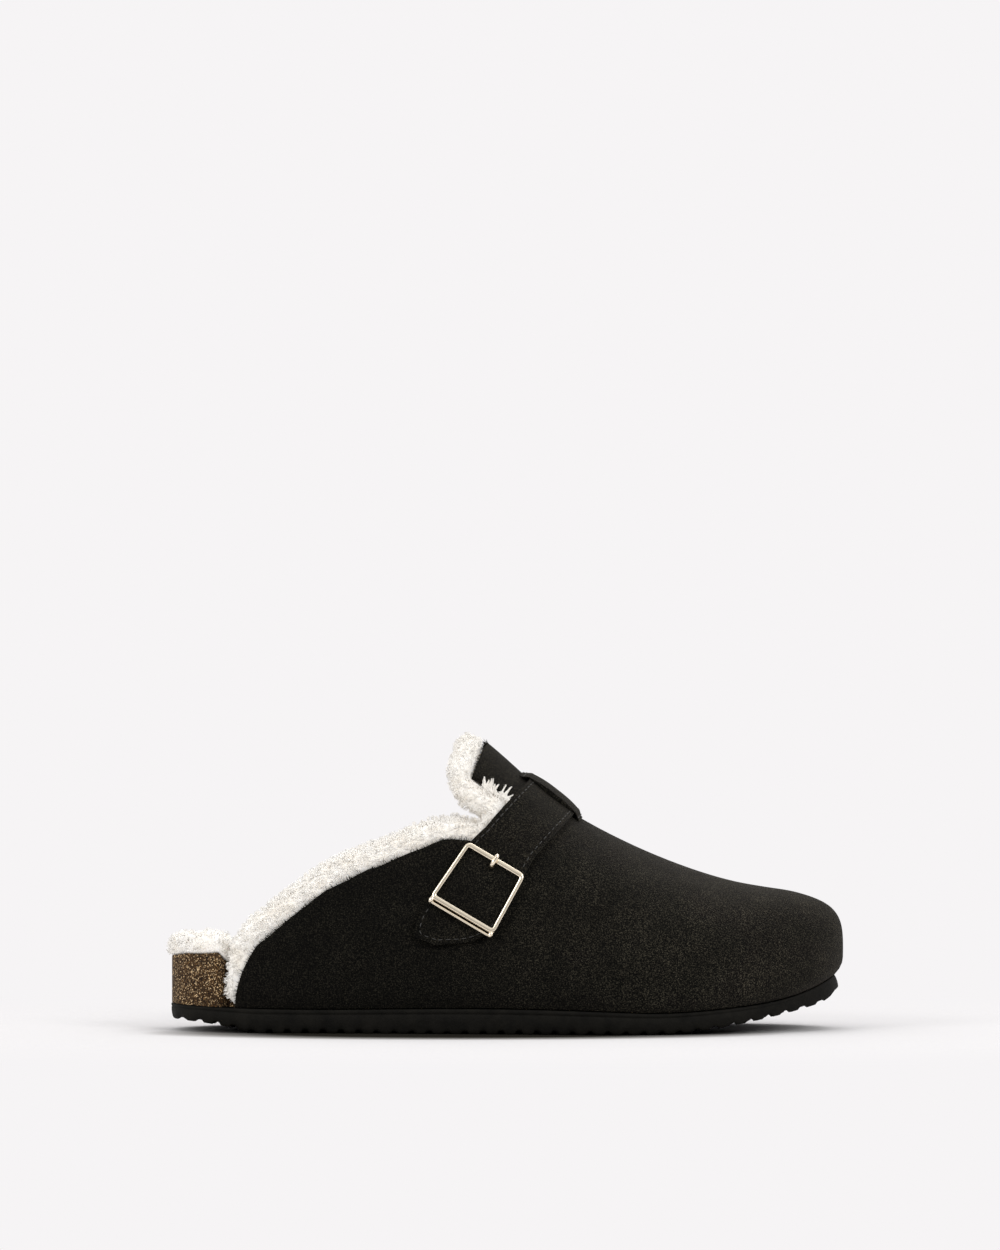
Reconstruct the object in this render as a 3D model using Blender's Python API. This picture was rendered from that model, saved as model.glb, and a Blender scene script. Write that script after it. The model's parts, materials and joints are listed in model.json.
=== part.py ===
"""A right-foot clog slipper, standing on its sole: closed toe, open heel, pile lined, with a buckled strap.

+X points to the toe, +Y to the inner (medial) side of the foot, +Z up. The floor is z = 0 and the origin
is under the middle of the shoe. All lengths are in metres.

The pieces, from the floor up: outsole, cork footbed, pile insole, one-piece upper with its tongue, pile trim
along the collar and the tongue, instep strap, keeper over the strap, buckle frame and buckle prong.
"""

import math
from collections import namedtuple

import bmesh
import bpy
import numpy as np
from mathutils import Matrix, Vector

# Driving sizes of the shoe
SOLE_LENGTH = 0.258
BALL_WIDTH = 0.095
TONGUE_HEIGHT = 0.110
QUARTER_HEIGHT = 0.0742
SOLE_THICKNESS = 0.008
TOE_SPRING = 0.0128
FOOTBED_RIM = 0.0215
CLEARANCE = 0.0003

# Rounding of the plan outline at its two ends
HEEL_CAP = 0.135
HEEL_ROUND = 2.1
TOE_CAP = 0.30
TOE_ROUND = 2.15

# Outsole
HEEL_ROCKER = 0.0044
HEEL_ROCKER_SHARE = 0.125
SPRING_START = 0.70
SPRING_POWER = 1.75
TOE_BEVEL = 0.0035
TOE_BEVEL_SHARE = 0.034
LUG_PITCH = 0.0068
LUG_LAND = 0.0036
GROOVE_DEPTH = 0.0015
GROOVE_WAVE = 0.0035
SOLE_TAPER = 0.0008
TOE_LIP = 0.0015
SOLE_ROWS = 6
PLAIN_PADS = ((0.125, 0.225), (0.565, 0.675))

# Upper
WALL = 0.0020
FEATHER_INSET = 0.0013
BELLY_SHARE = 0.16
SPINE_END = 0.60
SPINE_REACH = 0.22
BACK_LEAN = 0.0087
COLLAR_CORNER = 0.133
NOTCH_ALONG = 0.535
NOTCH_HEIGHT = 0.0760
SIDE_ROWS = 7
CROWN_ROWS = 5
VAMP_COLUMNS = 19
QUARTER_COLUMNS = 11
TONGUE_COLUMNS = 4

# Strap, keeper and buckle
STRAP_WIDTH = 0.0215
STRAP_THICKNESS = 0.0018
STRAP_MIDDLE_HEIGHT = 0.0558
STRAP_MIDDLE_ALONG = 0.460
STRAP_SLOPE = 0.62
STRAP_BEND = 13.5
STRAP_TIP_HEIGHT = 0.0334
STRAP_FIXED_HEIGHT = 0.0400
PRONG_HOLE_RADIUS = 0.0019
TIP_ROWS = 6
STRAP_ROWS = 30
KEEPER_LENGTH = 0.0285
KEEPER_WIDTH = 0.0250
KEEPER_THICKNESS = 0.0016
BUCKLE_HEIGHT = 0.0262
BUCKLE_TOP_WIDTH = 0.0262
BUCKLE_BOTTOM_WIDTH = 0.0284
BUCKLE_CORNER = 0.0024
BUCKLE_BAR = 0.0021
BUCKLE_SIDE = 0.0017
BUCKLE_DEPTH = 0.0019
BUCKLE_LIFT = 0.0009
ANCHOR_BAR_RADIUS = 0.0006
ANCHOR_BAR_DROP = 0.0021
PRONG_RADIUS = 0.0010
PRONG_SETBACK = 0.0019
PRONG_REACH = 0.0013
PRONG_OVER = BUCKLE_DEPTH + CLEARANCE + PRONG_RADIUS

# Pile, the curly lining that shows as an insole and as a trim
PILE_LENGTH = 0.0075
PILE_EDGE = 0.55
PILE_GLUE = 0.0006
LOCK_PITCH = 0.0072
LOCK_HEIGHT = 0.0011
TRIM_WIDE = 0.0056
TRIM_DEEP = 0.0042
TRIM_FLAT_WIDE = 0.0027
TRIM_FLAT_DEEP = 0.0010
TRIM_PRESS = 0.80
TRIM_AROUND = 9
TRIM_START = 0.0018
TRIM_STOP = 0.035
TRIM_SWELL_FROM = 0.031
TRIM_SWELL_RISE = 0.009
TRIM_WIDEN_FROM = 0.010
TRIM_WIDEN_RISE = 0.021
TRIM_LOCKS = 0.17

# Colours, as linear red, green and blue
SUEDE_BLACK = (0.012, 0.011, 0.010)
RUBBER_BLACK = (0.015, 0.015, 0.015)
CORK_BROWN = (0.13, 0.075, 0.038)
PILE_CREAM = (0.83, 0.79, 0.72)
PALE_GOLD = (0.86, 0.68, 0.50)

# Plan outline before its ends are rounded, as shares of SOLE_LENGTH and BALL_WIDTH
Plan = namedtuple("Plan", "along centre half")
PLAN = (
    Plan(0.00, -0.004, 0.348),
    Plan(0.12, -0.008, 0.350),
    Plan(0.25, -0.026, 0.351),
    Plan(0.40, -0.055, 0.363),
    Plan(0.52, -0.061, 0.402),
    Plan(0.62, -0.045, 0.455),
    Plan(0.70, -0.022, 0.487),
    Plan(0.80, 0.010, 0.500),
    Plan(0.90, 0.048, 0.495),
    Plan(1.00, 0.082, 0.480),
)

# Cross-sections of the last, as shares: ridge of BALL_WIDTH, roof of TONGUE_HEIGHT, belly of SOLE_THICKNESS,
# bulge of WALL; side and top say how full the section is between its widest point and its ridge
Section = namedtuple("Section", "along ridge roof belly bulge side top")
SECTIONS = (
    Section(0.00, -0.010, 1.190, 1.70, 0.00, 0.62, 0.50),
    Section(0.20, -0.018, 1.190, 1.70, 0.10, 0.62, 0.50),
    Section(0.36, -0.012, 1.150, 1.70, 0.20, 0.62, 0.50),
    Section(0.47, 0.008, 1.012, 1.65, 0.30, 0.60, 0.50),
    Section(0.52, 0.018, 0.910, 1.60, 0.35, 0.59, 0.53),
    Section(0.57, 0.028, 0.808, 1.55, 0.40, 0.59, 0.57),
    Section(0.63, 0.038, 0.718, 1.50, 0.40, 0.60, 0.61),
    Section(0.70, 0.050, 0.636, 1.45, 0.45, 0.62, 0.65),
    Section(0.78, 0.062, 0.561, 1.35, 0.50, 0.65, 0.70),
    Section(0.86, 0.074, 0.510, 1.25, 0.60, 0.69, 0.77),
    Section(0.94, 0.084, 0.4925, 1.30, 0.80, 0.76, 0.90),
    Section(1.00, 0.090, 0.478, 1.60, 0.90, 0.80, 1.00),
)

# Top edge of the quarter, as shares of SOLE_LENGTH and QUARTER_HEIGHT
Collar = namedtuple("Collar", "along height")
COLLAR = (
    Collar(0.133, 0.458),
    Collar(0.192, 0.622),
    Collar(0.252, 0.768),
    Collar(0.312, 0.862),
    Collar(0.372, 0.948),
    Collar(0.417, 0.999),
    Collar(0.462, 0.985),
    Collar(0.500, 0.990),
    Collar(0.535, 1.030),
)

# Side edge of the tongue, from the notch to its end, as shares of SOLE_LENGTH and TONGUE_HEIGHT
Tongue = namedtuple("Tongue", "step edge height ridge")
TONGUE = (
    Tongue(0.00, 0.535, 0.691, 0.535),
    Tongue(0.35, 0.510, 0.812, 0.516),
    Tongue(0.65, 0.486, 0.850, 0.498),
    Tongue(0.85, 0.467, 0.872, 0.484),
    Tongue(1.00, 0.451, 0.892, 0.473),
)

# Upper face of the outsole's edge over its flat bottom, as shares of SOLE_LENGTH and SOLE_THICKNESS
SoleEdge = namedtuple("SoleEdge", "along thickness")
SOLE_EDGE = (
    SoleEdge(0.00, 1.29),
    SoleEdge(0.20, 1.13),
    SoleEdge(0.40, 1.19),
    SoleEdge(0.55, 1.17),
    SoleEdge(0.70, 1.02),
    SoleEdge(0.85, 0.80),
    SoleEdge(0.95, 0.78),
    SoleEdge(1.00, 1.08),
)

BED_COLUMNS = 28
BED_ROWS = 10

# Footbed over the outsole, as shares of FOOTBED_RIM: under the foot and at its edge
Footbed = namedtuple("Footbed", "along seat rim")
FOOTBED = (
    Footbed(0.00, 0.67, 0.83),
    Footbed(0.08, 0.59, 1.00),
    Footbed(0.25, 0.585, 1.03),
    Footbed(0.42, 0.62, 0.94),
    Footbed(0.60, 0.47, 0.64),
    Footbed(0.78, 0.35, 0.45),
    Footbed(1.00, 0.46, 0.50),
)

# How far the footbed and the insole stand in from the plan outline, in thicknesses of the upper's wall
Fit = namedtuple("Fit", "along bed pile")
FITS = (
    Fit(0.000, 0.15, -0.60),
    Fit(0.074, 0.15, -0.60),
    Fit(0.079, 3.10, 3.30),
    Fit(0.105, 3.10, 6.60),
    Fit(0.180, 2.60, 7.60),
    Fit(0.240, 1.85, 2.30),
    Fit(1.000, 1.85, 2.00),
)

# Outline of the strap's rounded tip and of its run through the buckle, as shares of STRAP_WIDTH: how far from
# the tip's end, half of the width there, and how far the middle stands to the toe
Tip = namedtuple("Tip", "reach half middle")
TIP = (
    Tip(0.02, 0.20, -0.25),
    Tip(0.093, 0.39, -0.21),
    Tip(0.186, 0.52, -0.15),
    Tip(0.302, 0.595, -0.095),
    Tip(0.465, 0.655, -0.035),
    Tip(0.633, 0.65, -0.01),
    Tip(0.93, 0.586, 0.0),
    Tip(1.86, 0.54, 0.0),
    Tip(2.14, 0.50, 0.0),
)

# Section of the keeper across the strap: 1 is the strap's edge and 2 the keeper's end; under is a share of
# the tunnel's height and thick a share of KEEPER_THICKNESS
Keeper = namedtuple("Keeper", "across under thick")
KEEPER = (
    Keeper(-2.0, 0.0, 0.45),
    Keeper(-1.5, 0.5, 0.50),
    Keeper(-1.0, 1.0, 0.62),
    Keeper(-0.5, 1.0, 1.0),
    Keeper(0.0, 1.0, 1.12),
    Keeper(0.5, 1.0, 1.0),
    Keeper(1.0, 1.0, 0.62),
    Keeper(1.5, 0.5, 0.50),
    Keeper(2.0, 0.0, 0.45),
)

# Prong from the strap's hole over the top bar: back is a share of PRONG_SETBACK behind the bar, or of
# PRONG_REACH before it where it is negative, and high a share of its height over the bar
Prong = namedtuple("Prong", "back high")
PRONG = (
    Prong(1.00, -0.55),
    Prong(1.00, 0.25),
    Prong(0.80, 0.72),
    Prong(0.20, 0.98),
    Prong(0.00, 1.00),
    Prong(-0.45, 0.97),
    Prong(-1.00, 0.90),
)

LATERAL, MEDIAL = -1.0, 1.0


def reader(rows, column):
    """A smooth curve through one column of a table, as a function of its first column."""
    at = np.array([row[0] for row in rows])
    value = np.array([getattr(row, column) for row in rows])
    step = np.diff(at)
    count = len(at)
    left, right = np.zeros((count, count)), np.zeros(count)
    left[0, 0] = left[-1, -1] = 1.0
    for i in range(1, count - 1):
        left[i, i - 1], left[i, i], left[i, i + 1] = step[i - 1], 2 * (step[i - 1] + step[i]), step[i]
        right[i] = 3 * ((value[i + 1] - value[i]) / step[i] - (value[i] - value[i - 1]) / step[i - 1])
    bend = np.linalg.solve(left, right)
    slope = np.diff(value) / step - step * (2 * bend[:-1] + bend[1:]) / 3
    grow = np.diff(bend) / (3 * step)

    def read(x):
        x = np.asarray(x, float)
        i = np.clip(np.searchsorted(at, x) - 1, 0, count - 2)
        d = x - at[i]
        return value[i] + d * (slope[i] + d * (bend[i] + d * grow[i]))

    return read


plan_centre, plan_half = reader(PLAN, "centre"), reader(PLAN, "half")
ridge_share, roof_share = reader(SECTIONS, "ridge"), reader(SECTIONS, "roof")
belly_share, bulge_share = reader(SECTIONS, "belly"), reader(SECTIONS, "bulge")
side_fullness, top_fullness = reader(SECTIONS, "side"), reader(SECTIONS, "top")
collar_share = reader(COLLAR, "height")
tongue_edge, tongue_height = reader(TONGUE, "edge"), reader(TONGUE, "height")
tongue_ridge = reader(TONGUE, "ridge")
sole_edge_share = reader(SOLE_EDGE, "thickness")
seat_share, rim_share = reader(FOOTBED, "seat"), reader(FOOTBED, "rim")


def inset_of(along, column):
    """How far the footbed or the insole stands in from the outline, straight between its table's rows."""
    return WALL * np.interp(along, [row.along for row in FITS], [getattr(row, column) for row in FITS])


# Plan outline
def along_of(station):
    """Share of the length at a station from 0, the heel's back, to 1, the toe's tip, crowded at both ends."""
    return (1 - np.cos(np.pi * np.asarray(station, float))) / 2


def station_of(along):
    """The station at a share of the length."""
    return np.arccos(1 - 2 * np.clip(np.asarray(along, float), 0, 1)) / np.pi


def outline(station, side):
    """Plan outline of the sole at a station, as x and y."""
    along = along_of(station)
    heel = np.clip(1 - along / HEEL_CAP, 0, 1)
    toe = np.clip((along - 1 + TOE_CAP) / TOE_CAP, 0, 1)
    rounded = np.maximum(1 - heel**HEEL_ROUND, 0) ** (1 / HEEL_ROUND)
    rounded = rounded * np.maximum(1 - toe**TOE_ROUND, 0) ** (1 / TOE_ROUND)
    y = BALL_WIDTH * (plan_centre(along) + side * plan_half(along) * rounded)
    return SOLE_LENGTH * along, y


def edge(station, side, inset):
    """The plan outline moved in by inset, square to itself."""
    station = np.asarray(station, float)
    small = 1e-4
    x, y = outline(station, side)
    x0, y0 = outline(np.clip(station - small, 0, 1), side)
    x1, y1 = outline(np.clip(station + small, 0, 1), side)
    run, rise = x1 - x0, y1 - y0
    end = (station < small) | (station > 1 - small)
    length = np.maximum(np.hypot(run, rise), 1e-12)
    across = np.where(end, 0.0, -side * run / length)
    forward = np.where(end, np.where(station < 0.5, 1.0, -1.0), side * rise / length)
    return x + inset * forward, y + inset * across


# Heights along the shoe
def sole_bottom(along):
    """Height of the outsole's lugs: a rocker at the heel, flat, then the toe spring with a bevelled tip."""
    heel = 1 - np.clip(np.asarray(along) / HEEL_ROCKER_SHARE, 0, 1) ** 2
    toe = np.clip((np.asarray(along) - SPRING_START) / (1 - SPRING_START), 0, 1)
    tip = np.clip((np.asarray(along) - 1 + TOE_BEVEL_SHARE) / TOE_BEVEL_SHARE, 0, 1)
    return HEEL_ROCKER * heel + TOE_SPRING * toe**SPRING_POWER + TOE_BEVEL * tip**2


def sole_top(along):
    """Height of the outsole's upper face, which the rocker leaves level."""
    toe = np.clip((np.asarray(along) - SPRING_START) / (1 - SPRING_START), 0, 1)
    return TOE_SPRING * toe**SPRING_POWER + SOLE_THICKNESS * sole_edge_share(along)


def roof(along):
    """Height of the ridge of the last."""
    return TONGUE_HEIGHT * roof_share(along)


# Last
def last_point(station, rise, side):
    """A point of the upper's outer face: rise goes from 0 at the sole to 1 at the ridge, along a rib."""
    station, rise = np.broadcast_arrays(np.asarray(station, float), np.asarray(rise, float))
    along = along_of(station)
    base_x, base_y = outline(station, side)
    lead = np.maximum(along - SPINE_END, 0)
    spine = np.where(along < SPINE_END, along, SPINE_END + SPINE_REACH * np.tanh(lead / SPINE_REACH))
    spine_x, spine_y = SOLE_LENGTH * spine, BALL_WIDTH * ridge_share(spine)
    reach = np.hypot(base_x - spine_x, base_y - spine_y)
    feather = 1 - FEATHER_INSET / reach
    belly = 1 + WALL * bulge_share(along) / reach
    foot_x = spine_x + (base_x - spine_x) * feather
    low = sole_top(foot_x / SOLE_LENGTH) + CLEARANCE
    wide = low + SOLE_THICKNESS * belly_share(along) / 2

    under = np.clip(rise / BELLY_SHARE, 0, 1)
    out_under = feather + (belly - feather) * (1 - (1 - under) ** 2)
    over = np.clip((rise - BELLY_SHARE) / (1 - BELLY_SHARE), 0, 1)
    back = 1 - over
    out_over = belly * (back**3 + 3 * back**2 * over + 3 * top_fullness(along) * back * over**2)
    lift = 3 * side_fullness(along) * back**2 * over + 3 * back * over**2 + over**3

    out = np.where(rise < BELLY_SHARE, out_under, out_over)
    x = spine_x + (base_x - spine_x) * out
    y = spine_y + (base_y - spine_y) * out
    top = roof(x / SOLE_LENGTH)
    z = np.where(rise < BELLY_SHARE, low + (wide - low) * under, wide + (top - wide) * lift)
    return np.stack([x, y, z], axis=-1)


def last_normal(station, rise, side):
    """The outward unit normal of the last there."""
    small = 1e-4
    station, rise = np.broadcast_arrays(np.asarray(station, float), np.asarray(rise, float))
    s0, s1 = np.clip(station - small, 0, 1), np.clip(station + small, 0, 1)
    r0, r1 = np.clip(rise - small, 0, 1), np.clip(rise + small, 0, 1)
    along = last_point(s1, rise, side) - last_point(s0, rise, side)
    up = last_point(station, r1, side) - last_point(station, r0, side)
    normal = -side * np.cross(along, up)
    return normal / np.linalg.norm(normal, axis=-1, keepdims=True)


def solve(function, low, high, steps=40):
    """Where a rising function crosses zero between low and high, by halving."""
    low, high = np.array(low, float), np.array(high, float)
    for _ in range(steps):
        middle = (low + high) / 2
        above = function(middle) > 0
        low, high = np.where(above, low, middle), np.where(above, middle, high)
    return (low + high) / 2


def rise_at(along, height, side):
    """How far up its rib the last reaches a height, where the ribs stand square to the length."""
    station = station_of(along)
    zeros = np.zeros(np.broadcast(station, height).shape)
    return solve(lambda rise: last_point(station, rise, side)[..., 2] - height, zeros, zeros + 1)


# Building meshes
def new_object(name, points, faces, finish, parent):
    """A named object from points and faces, with doubled points joined and its normals facing out."""
    mesh = bpy.data.meshes.new(name)
    work = bmesh.new()
    verts = [work.verts.new(p) for p in points]
    for face in faces:
        ring = [verts[i] for i in face]
        if len({tuple(v.co) for v in ring}) > 2:
            work.faces.new(ring)
    bmesh.ops.remove_doubles(work, verts=work.verts, dist=1e-6)
    bmesh.ops.dissolve_degenerate(work, edges=work.edges, dist=1e-7)
    bmesh.ops.delete(work, geom=[v for v in work.verts if not v.link_faces], context="VERTS")
    bmesh.ops.recalc_face_normals(work, faces=work.faces)
    work.to_mesh(mesh)
    work.free()
    mesh.materials.append(finish)
    mesh.shade_smooth()
    mesh.set_sharp_from_angle(angle=math.radians(40))
    obj = bpy.data.objects.new(name, mesh)
    bpy.context.scene.collection.objects.link(obj)
    obj.parent = parent
    return obj


def grid_faces(start, columns, rows):
    """Quads of a grid of points laid out column by column."""
    faces = []
    for c in range(columns - 1):
        for r in range(rows - 1):
            a = start + c * rows + r
            faces.append((a, a + 1, a + rows + 1, a + rows))
    return faces


def closed_sheet(name, outer, inner, finish, parent):
    """A closed solid between two grids of the same shape, an outer and an inner face."""
    columns, rows = outer.shape[:2]
    points = np.concatenate([outer.reshape(-1, 3), inner.reshape(-1, 3)])
    half = columns * rows
    faces = grid_faces(0, columns, rows)
    faces += [tuple(reversed(f)) for f in grid_faces(half, columns, rows)]
    rim = [r for r in range(rows)] + [c * rows + rows - 1 for c in range(1, columns)]
    rim += [(columns - 1) * rows + r for r in range(rows - 2, -1, -1)]
    rim += [c * rows for c in range(columns - 2, 0, -1)]
    for a, b in zip(rim, rim[1:] + rim[:1]):
        faces.append((b, a, a + half, b + half))
    return new_object(name, points, faces, finish, parent)


def swept(name, rings, finish, parent, closed=False):
    """A closed solid through rings of points; an open run has flat ends."""
    count, around = rings.shape[:2]
    faces = []
    for i in range(count if closed else count - 1):
        for k in range(around):
            a, b = i * around + k, i * around + (k + 1) % around
            c, d = ((i + 1) % count) * around + (k + 1) % around, ((i + 1) % count) * around + k
            faces.append((a, b, c, d))
    if not closed:
        faces.append(tuple(range(around)))
        faces.append(tuple(range((count - 1) * around, count * around)))
    return new_object(name, rings.reshape(-1, 3), faces, finish, parent)


def material(name, colour, roughness, metallic=0.0):
    """A plain Principled material."""
    made = bpy.data.materials.new(name)
    made.use_nodes = True
    shader = made.node_tree.nodes["Principled BSDF"]
    shader.inputs["Base Color"].default_value = (*colour, 1.0)
    shader.inputs["Roughness"].default_value = roughness
    shader.inputs["Metallic"].default_value = metallic
    return made


def boolean(target, other, operation):
    """Cuts or joins another object, which is then hidden as a helper."""
    other.hide_render = True
    other.display_type = "WIRE"
    modifier = target.modifiers.new(operation.title(), "BOOLEAN")
    modifier.operation = operation
    modifier.object = other
    modifier.solver = "EXACT"


# Outsole
def lug_columns():
    """Shares of the length where a lug's land or a groove begins, and the groove's depth there."""
    land, slope = LUG_LAND / SOLE_LENGTH, (LUG_PITCH - LUG_LAND) / 3 / SOLE_LENGTH
    pitch = LUG_PITCH / SOLE_LENGTH
    columns = [(0.0, 0.0), (0.006, 0.0)]
    start = 0.0125
    while start + pitch < 1 - 0.012:
        columns += [(start, 0.0), (start + land, 0.0)]
        columns += [(start + land + slope, 1.0), (start + land + 2 * slope, 1.0)]
        start += pitch
    columns += [(start, 0.0), (1.0, 0.0)]
    return columns


def outsole(black_rubber, parent):
    """The outsole: wavy cross grooves that break through its side, a rocker at the heel and a sprung toe."""
    columns = lug_columns()
    station = station_of(np.array([c[0] for c in columns]))
    share = np.linspace(-1, 1, SOLE_ROWS + 1)
    along = along_of(station)
    depth = GROOVE_DEPTH * np.outer([c[1] for c in columns], np.ones(len(share)))
    for start, end in PLAIN_PADS:
        depth[np.outer((along > start) & (along < end), np.abs(share) < 0.4)] = 0
    lip = TOE_LIP * np.clip((along - 0.9) / 0.1, 0, 1)
    faces_of = {}
    for level, inset in (("bottom", SOLE_TAPER * (1 - np.clip((along - 0.9) / 0.1, 0, 1))), ("top", lip)):
        left_x, left_y = edge(station, LATERAL, inset)
        right_x, right_y = edge(station, MEDIAL, inset)
        mix = (share[None, :] + 1) / 2
        x = left_x[:, None] * (1 - mix) + right_x[:, None] * mix
        y = left_y[:, None] * (1 - mix) + right_y[:, None] * mix
        if level == "bottom":
            inner = (1 - share**2) * np.cos(3 * np.pi * share)
            fade = np.clip(np.minimum(along, 1 - along) / 0.12, 0, 1)
            x = x + GROOVE_WAVE * fade[:, None] * inner[None, :]
            z = sole_bottom(along)[:, None] + depth
        else:
            z = sole_top(x / SOLE_LENGTH)
        faces_of[level] = np.stack([x, y, z], axis=-1)
    return closed_sheet("outsole", faces_of["bottom"], faces_of["top"], black_rubber, parent)


# Footbed and insole
def footbed_top(x, y):
    """Height of the footbed over a place in plan: a seat that turns up to a rim all round."""
    along = np.clip(x / SOLE_LENGTH, 0, 1)
    _, left = outline(station_of(along), LATERAL)
    _, right = outline(station_of(along), MEDIAL)
    share = np.clip((2 * y - left - right) / np.maximum(right - left, 1e-6), -1.1, 1.1)
    heel, toe = np.clip(1 - along / 0.10, 0, 1), np.clip(1 - (1 - along) / 0.10, 0, 1)
    near = np.clip((np.abs(share) ** 4 + heel**4 + toe**4) ** 0.25, 0, 1.05)
    seat, rim = seat_share(along), rim_share(along)
    return sole_top(along) + FOOTBED_RIM * (seat + (rim - seat) * near**3)


def bed_stations():
    """Stations of the footbed's and the insole's columns, with one at each row of the table of fits."""
    fits = station_of(np.array([row.along for row in FITS[1:-1]]))
    spread = np.linspace(0, 1, BED_COLUMNS)
    spread = spread[np.abs(spread[:, None] - fits[None, :]).min(axis=1) > 0.3 / BED_COLUMNS]
    return np.sort(np.concatenate([spread, fits]))


def bed_grid(stations, inset):
    """Plan positions over the footbed, as columns from heel to toe with rows from outside to inside."""
    left_x, left_y = edge(stations, LATERAL, inset)
    right_x, right_y = edge(stations, MEDIAL, inset)
    mix = (np.sin(np.linspace(-np.pi / 2, np.pi / 2, BED_ROWS))[None, :] + 1) / 2
    x = left_x[:, None] * (1 - mix) + right_x[:, None] * mix
    y = left_y[:, None] * (1 - mix) + right_y[:, None] * mix
    return x, y


def footbed(cork, parent):
    """The cork footbed: bare and flush with the sole behind, inside the upper in front."""
    stations = bed_stations()
    x, y = bed_grid(stations, inset_of(along_of(stations), "bed"))
    under = np.stack([x, y, sole_top(x / SOLE_LENGTH) + CLEARANCE], axis=-1)
    top = np.stack([x, y, footbed_top(x, y)], axis=-1)
    return closed_sheet("footbed", top, under, cork, parent)


def insole(pile, parent):
    """The pile insole: a lumpy blanket over the footbed that overhangs it at the bare heel."""
    stations = bed_stations()
    inset = inset_of(along_of(stations), "pile")
    x, y = bed_grid(stations, np.maximum(inset, inset_of(along_of(stations), "bed")))
    for row, side in ((0, LATERAL), (-1, MEDIAL)):
        x[:, row], y[:, row] = edge(stations, side, inset)
    for tip in (0, -1):
        x[tip], y[tip] = x[tip, 0], y[tip, 0]
    low = footbed_top(x, y) + PILE_GLUE
    rim = np.zeros(x.shape)
    rim[0] = rim[-1] = rim[:, 0] = rim[:, -1] = 1
    wave = 2 * np.pi / LOCK_PITCH
    locks = LOCK_HEIGHT * np.cos(wave * x + 1.3 * np.sin(wave * y / 2)) * np.cos(wave * y / 1.9)
    high = low + (PILE_LENGTH + locks) * (1 - rim) + PILE_LENGTH * PILE_EDGE * rim
    return closed_sheet("pile_insole", np.stack([x, y, high], -1), np.stack([x, y, low], -1), pile, parent)


# Upper
def notch_rises(side):
    """The rows of the upper at the notch's column, from the sole up to the notch and on to the ridge."""
    low = float(sole_top(NOTCH_ALONG) + CLEARANCE)
    heights = np.linspace(low, NOTCH_HEIGHT, SIDE_ROWS + 1)
    side_rises = rise_at(NOTCH_ALONG, heights, side)
    side_rises[0] = 0.0
    crown_rises = np.linspace(side_rises[-1], 1.0, CROWN_ROWS + 1)
    return side_rises, crown_rises


def vamp_points(side):
    """The closed front of the upper on one side, as columns from the notch to the toe's tip."""
    side_rises, crown_rises = notch_rises(side)
    rises = np.concatenate([side_rises, crown_rises[1:]])
    stations = np.linspace(float(station_of(NOTCH_ALONG)), 1.0, VAMP_COLUMNS + 1)
    return last_point(stations[:, None], rises[None, :], side)


def quarter_points(side):
    """One quarter, as columns from the notch back to the leaning back edge."""
    steps = np.linspace(0, 1, QUARTER_COLUMNS + 1)
    collar_along = NOTCH_ALONG + (COLLAR_CORNER - NOTCH_ALONG) * steps
    base_along = collar_along - BACK_LEAN / SOLE_LENGTH * steps**3
    rows = np.linspace(0, 1, SIDE_ROWS + 1)
    along = base_along[:, None] + (collar_along - base_along)[:, None] * rows[None, :] ** 2
    low = sole_top(along) + CLEARANCE
    high = QUARTER_HEIGHT * collar_share(collar_along)[:, None]
    high[0] = NOTCH_HEIGHT
    height = low + (high - low) * rows[None, :]
    rise = rise_at(along, height, side)
    rise[:, 0] = 0.0
    return last_point(station_of(along), rise, side)


def tongue_points(side):
    """Half of the tongue, as columns from the notch back to its rounded end."""
    steps = np.linspace(0, 1, TONGUE_COLUMNS + 1)
    rows = np.linspace(0, 1, CROWN_ROWS + 1)
    edge_along, ridge_along = tongue_edge(steps), tongue_ridge(steps)
    edge_rise = rise_at(edge_along, TONGUE_HEIGHT * tongue_height(steps), side)
    edge_rise[0] = notch_rises(side)[0][-1]
    bow = 1 - (1 - rows[None, :]) ** 2
    along = edge_along[:, None] + (ridge_along - edge_along)[:, None] * bow
    rise = edge_rise[:, None] + (1 - edge_rise)[:, None] * rows[None, :]
    return last_point(station_of(along), rise, side)


def upper(suede, parent):
    """The one-piece upper: vamp, two quarters and tongue as one wall, open at collar, heel and underneath."""
    points, faces = [], []
    for side in (LATERAL, MEDIAL):
        for block in (vamp_points(side), quarter_points(side), tongue_points(side)):
            start = sum(len(p) for p in points)
            faces += grid_faces(start, *block.shape[:2])
            points.append(block.reshape(-1, 3))
    shell = new_object("upper", np.concatenate(points), faces, suede, parent)
    work = bmesh.new()
    work.from_mesh(shell.data)
    bmesh.ops.recalc_face_normals(work, faces=work.faces)
    toe = max(work.faces, key=lambda face: face.calc_center_median().x)
    if toe.normal.x < 0:
        bmesh.ops.reverse_faces(work, faces=work.faces)
    work.to_mesh(shell.data)
    work.free()
    wall = shell.modifiers.new("Wall", "SOLIDIFY")
    wall.thickness = WALL
    wall.offset = -1
    wall.use_even_offset = True
    return shell


# Strap
def strap_middle(height):
    """Share of the length of the strap's middle line at a height, and its slope."""
    lift = height - STRAP_MIDDLE_HEIGHT
    x = STRAP_MIDDLE_ALONG * SOLE_LENGTH + STRAP_SLOPE * lift + STRAP_BEND / 2 * lift**2
    return x, STRAP_SLOPE + STRAP_BEND * lift


def on_strap(across, rise, side):
    """Station of the last where a row crosses the strap at a distance across it, positive to the toe."""
    across, rise = np.broadcast_arrays(np.asarray(across, float), np.asarray(rise, float))

    def beyond(station):
        point = last_point(station, rise, side)
        x, slope = strap_middle(point[..., 2])
        return (point[..., 0] - x) / np.sqrt(1 + slope**2) - across

    low, high = float(station_of(0.30)), float(station_of(0.85))
    return solve(beyond, np.full(rise.shape, low), np.full(rise.shape, high))


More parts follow.
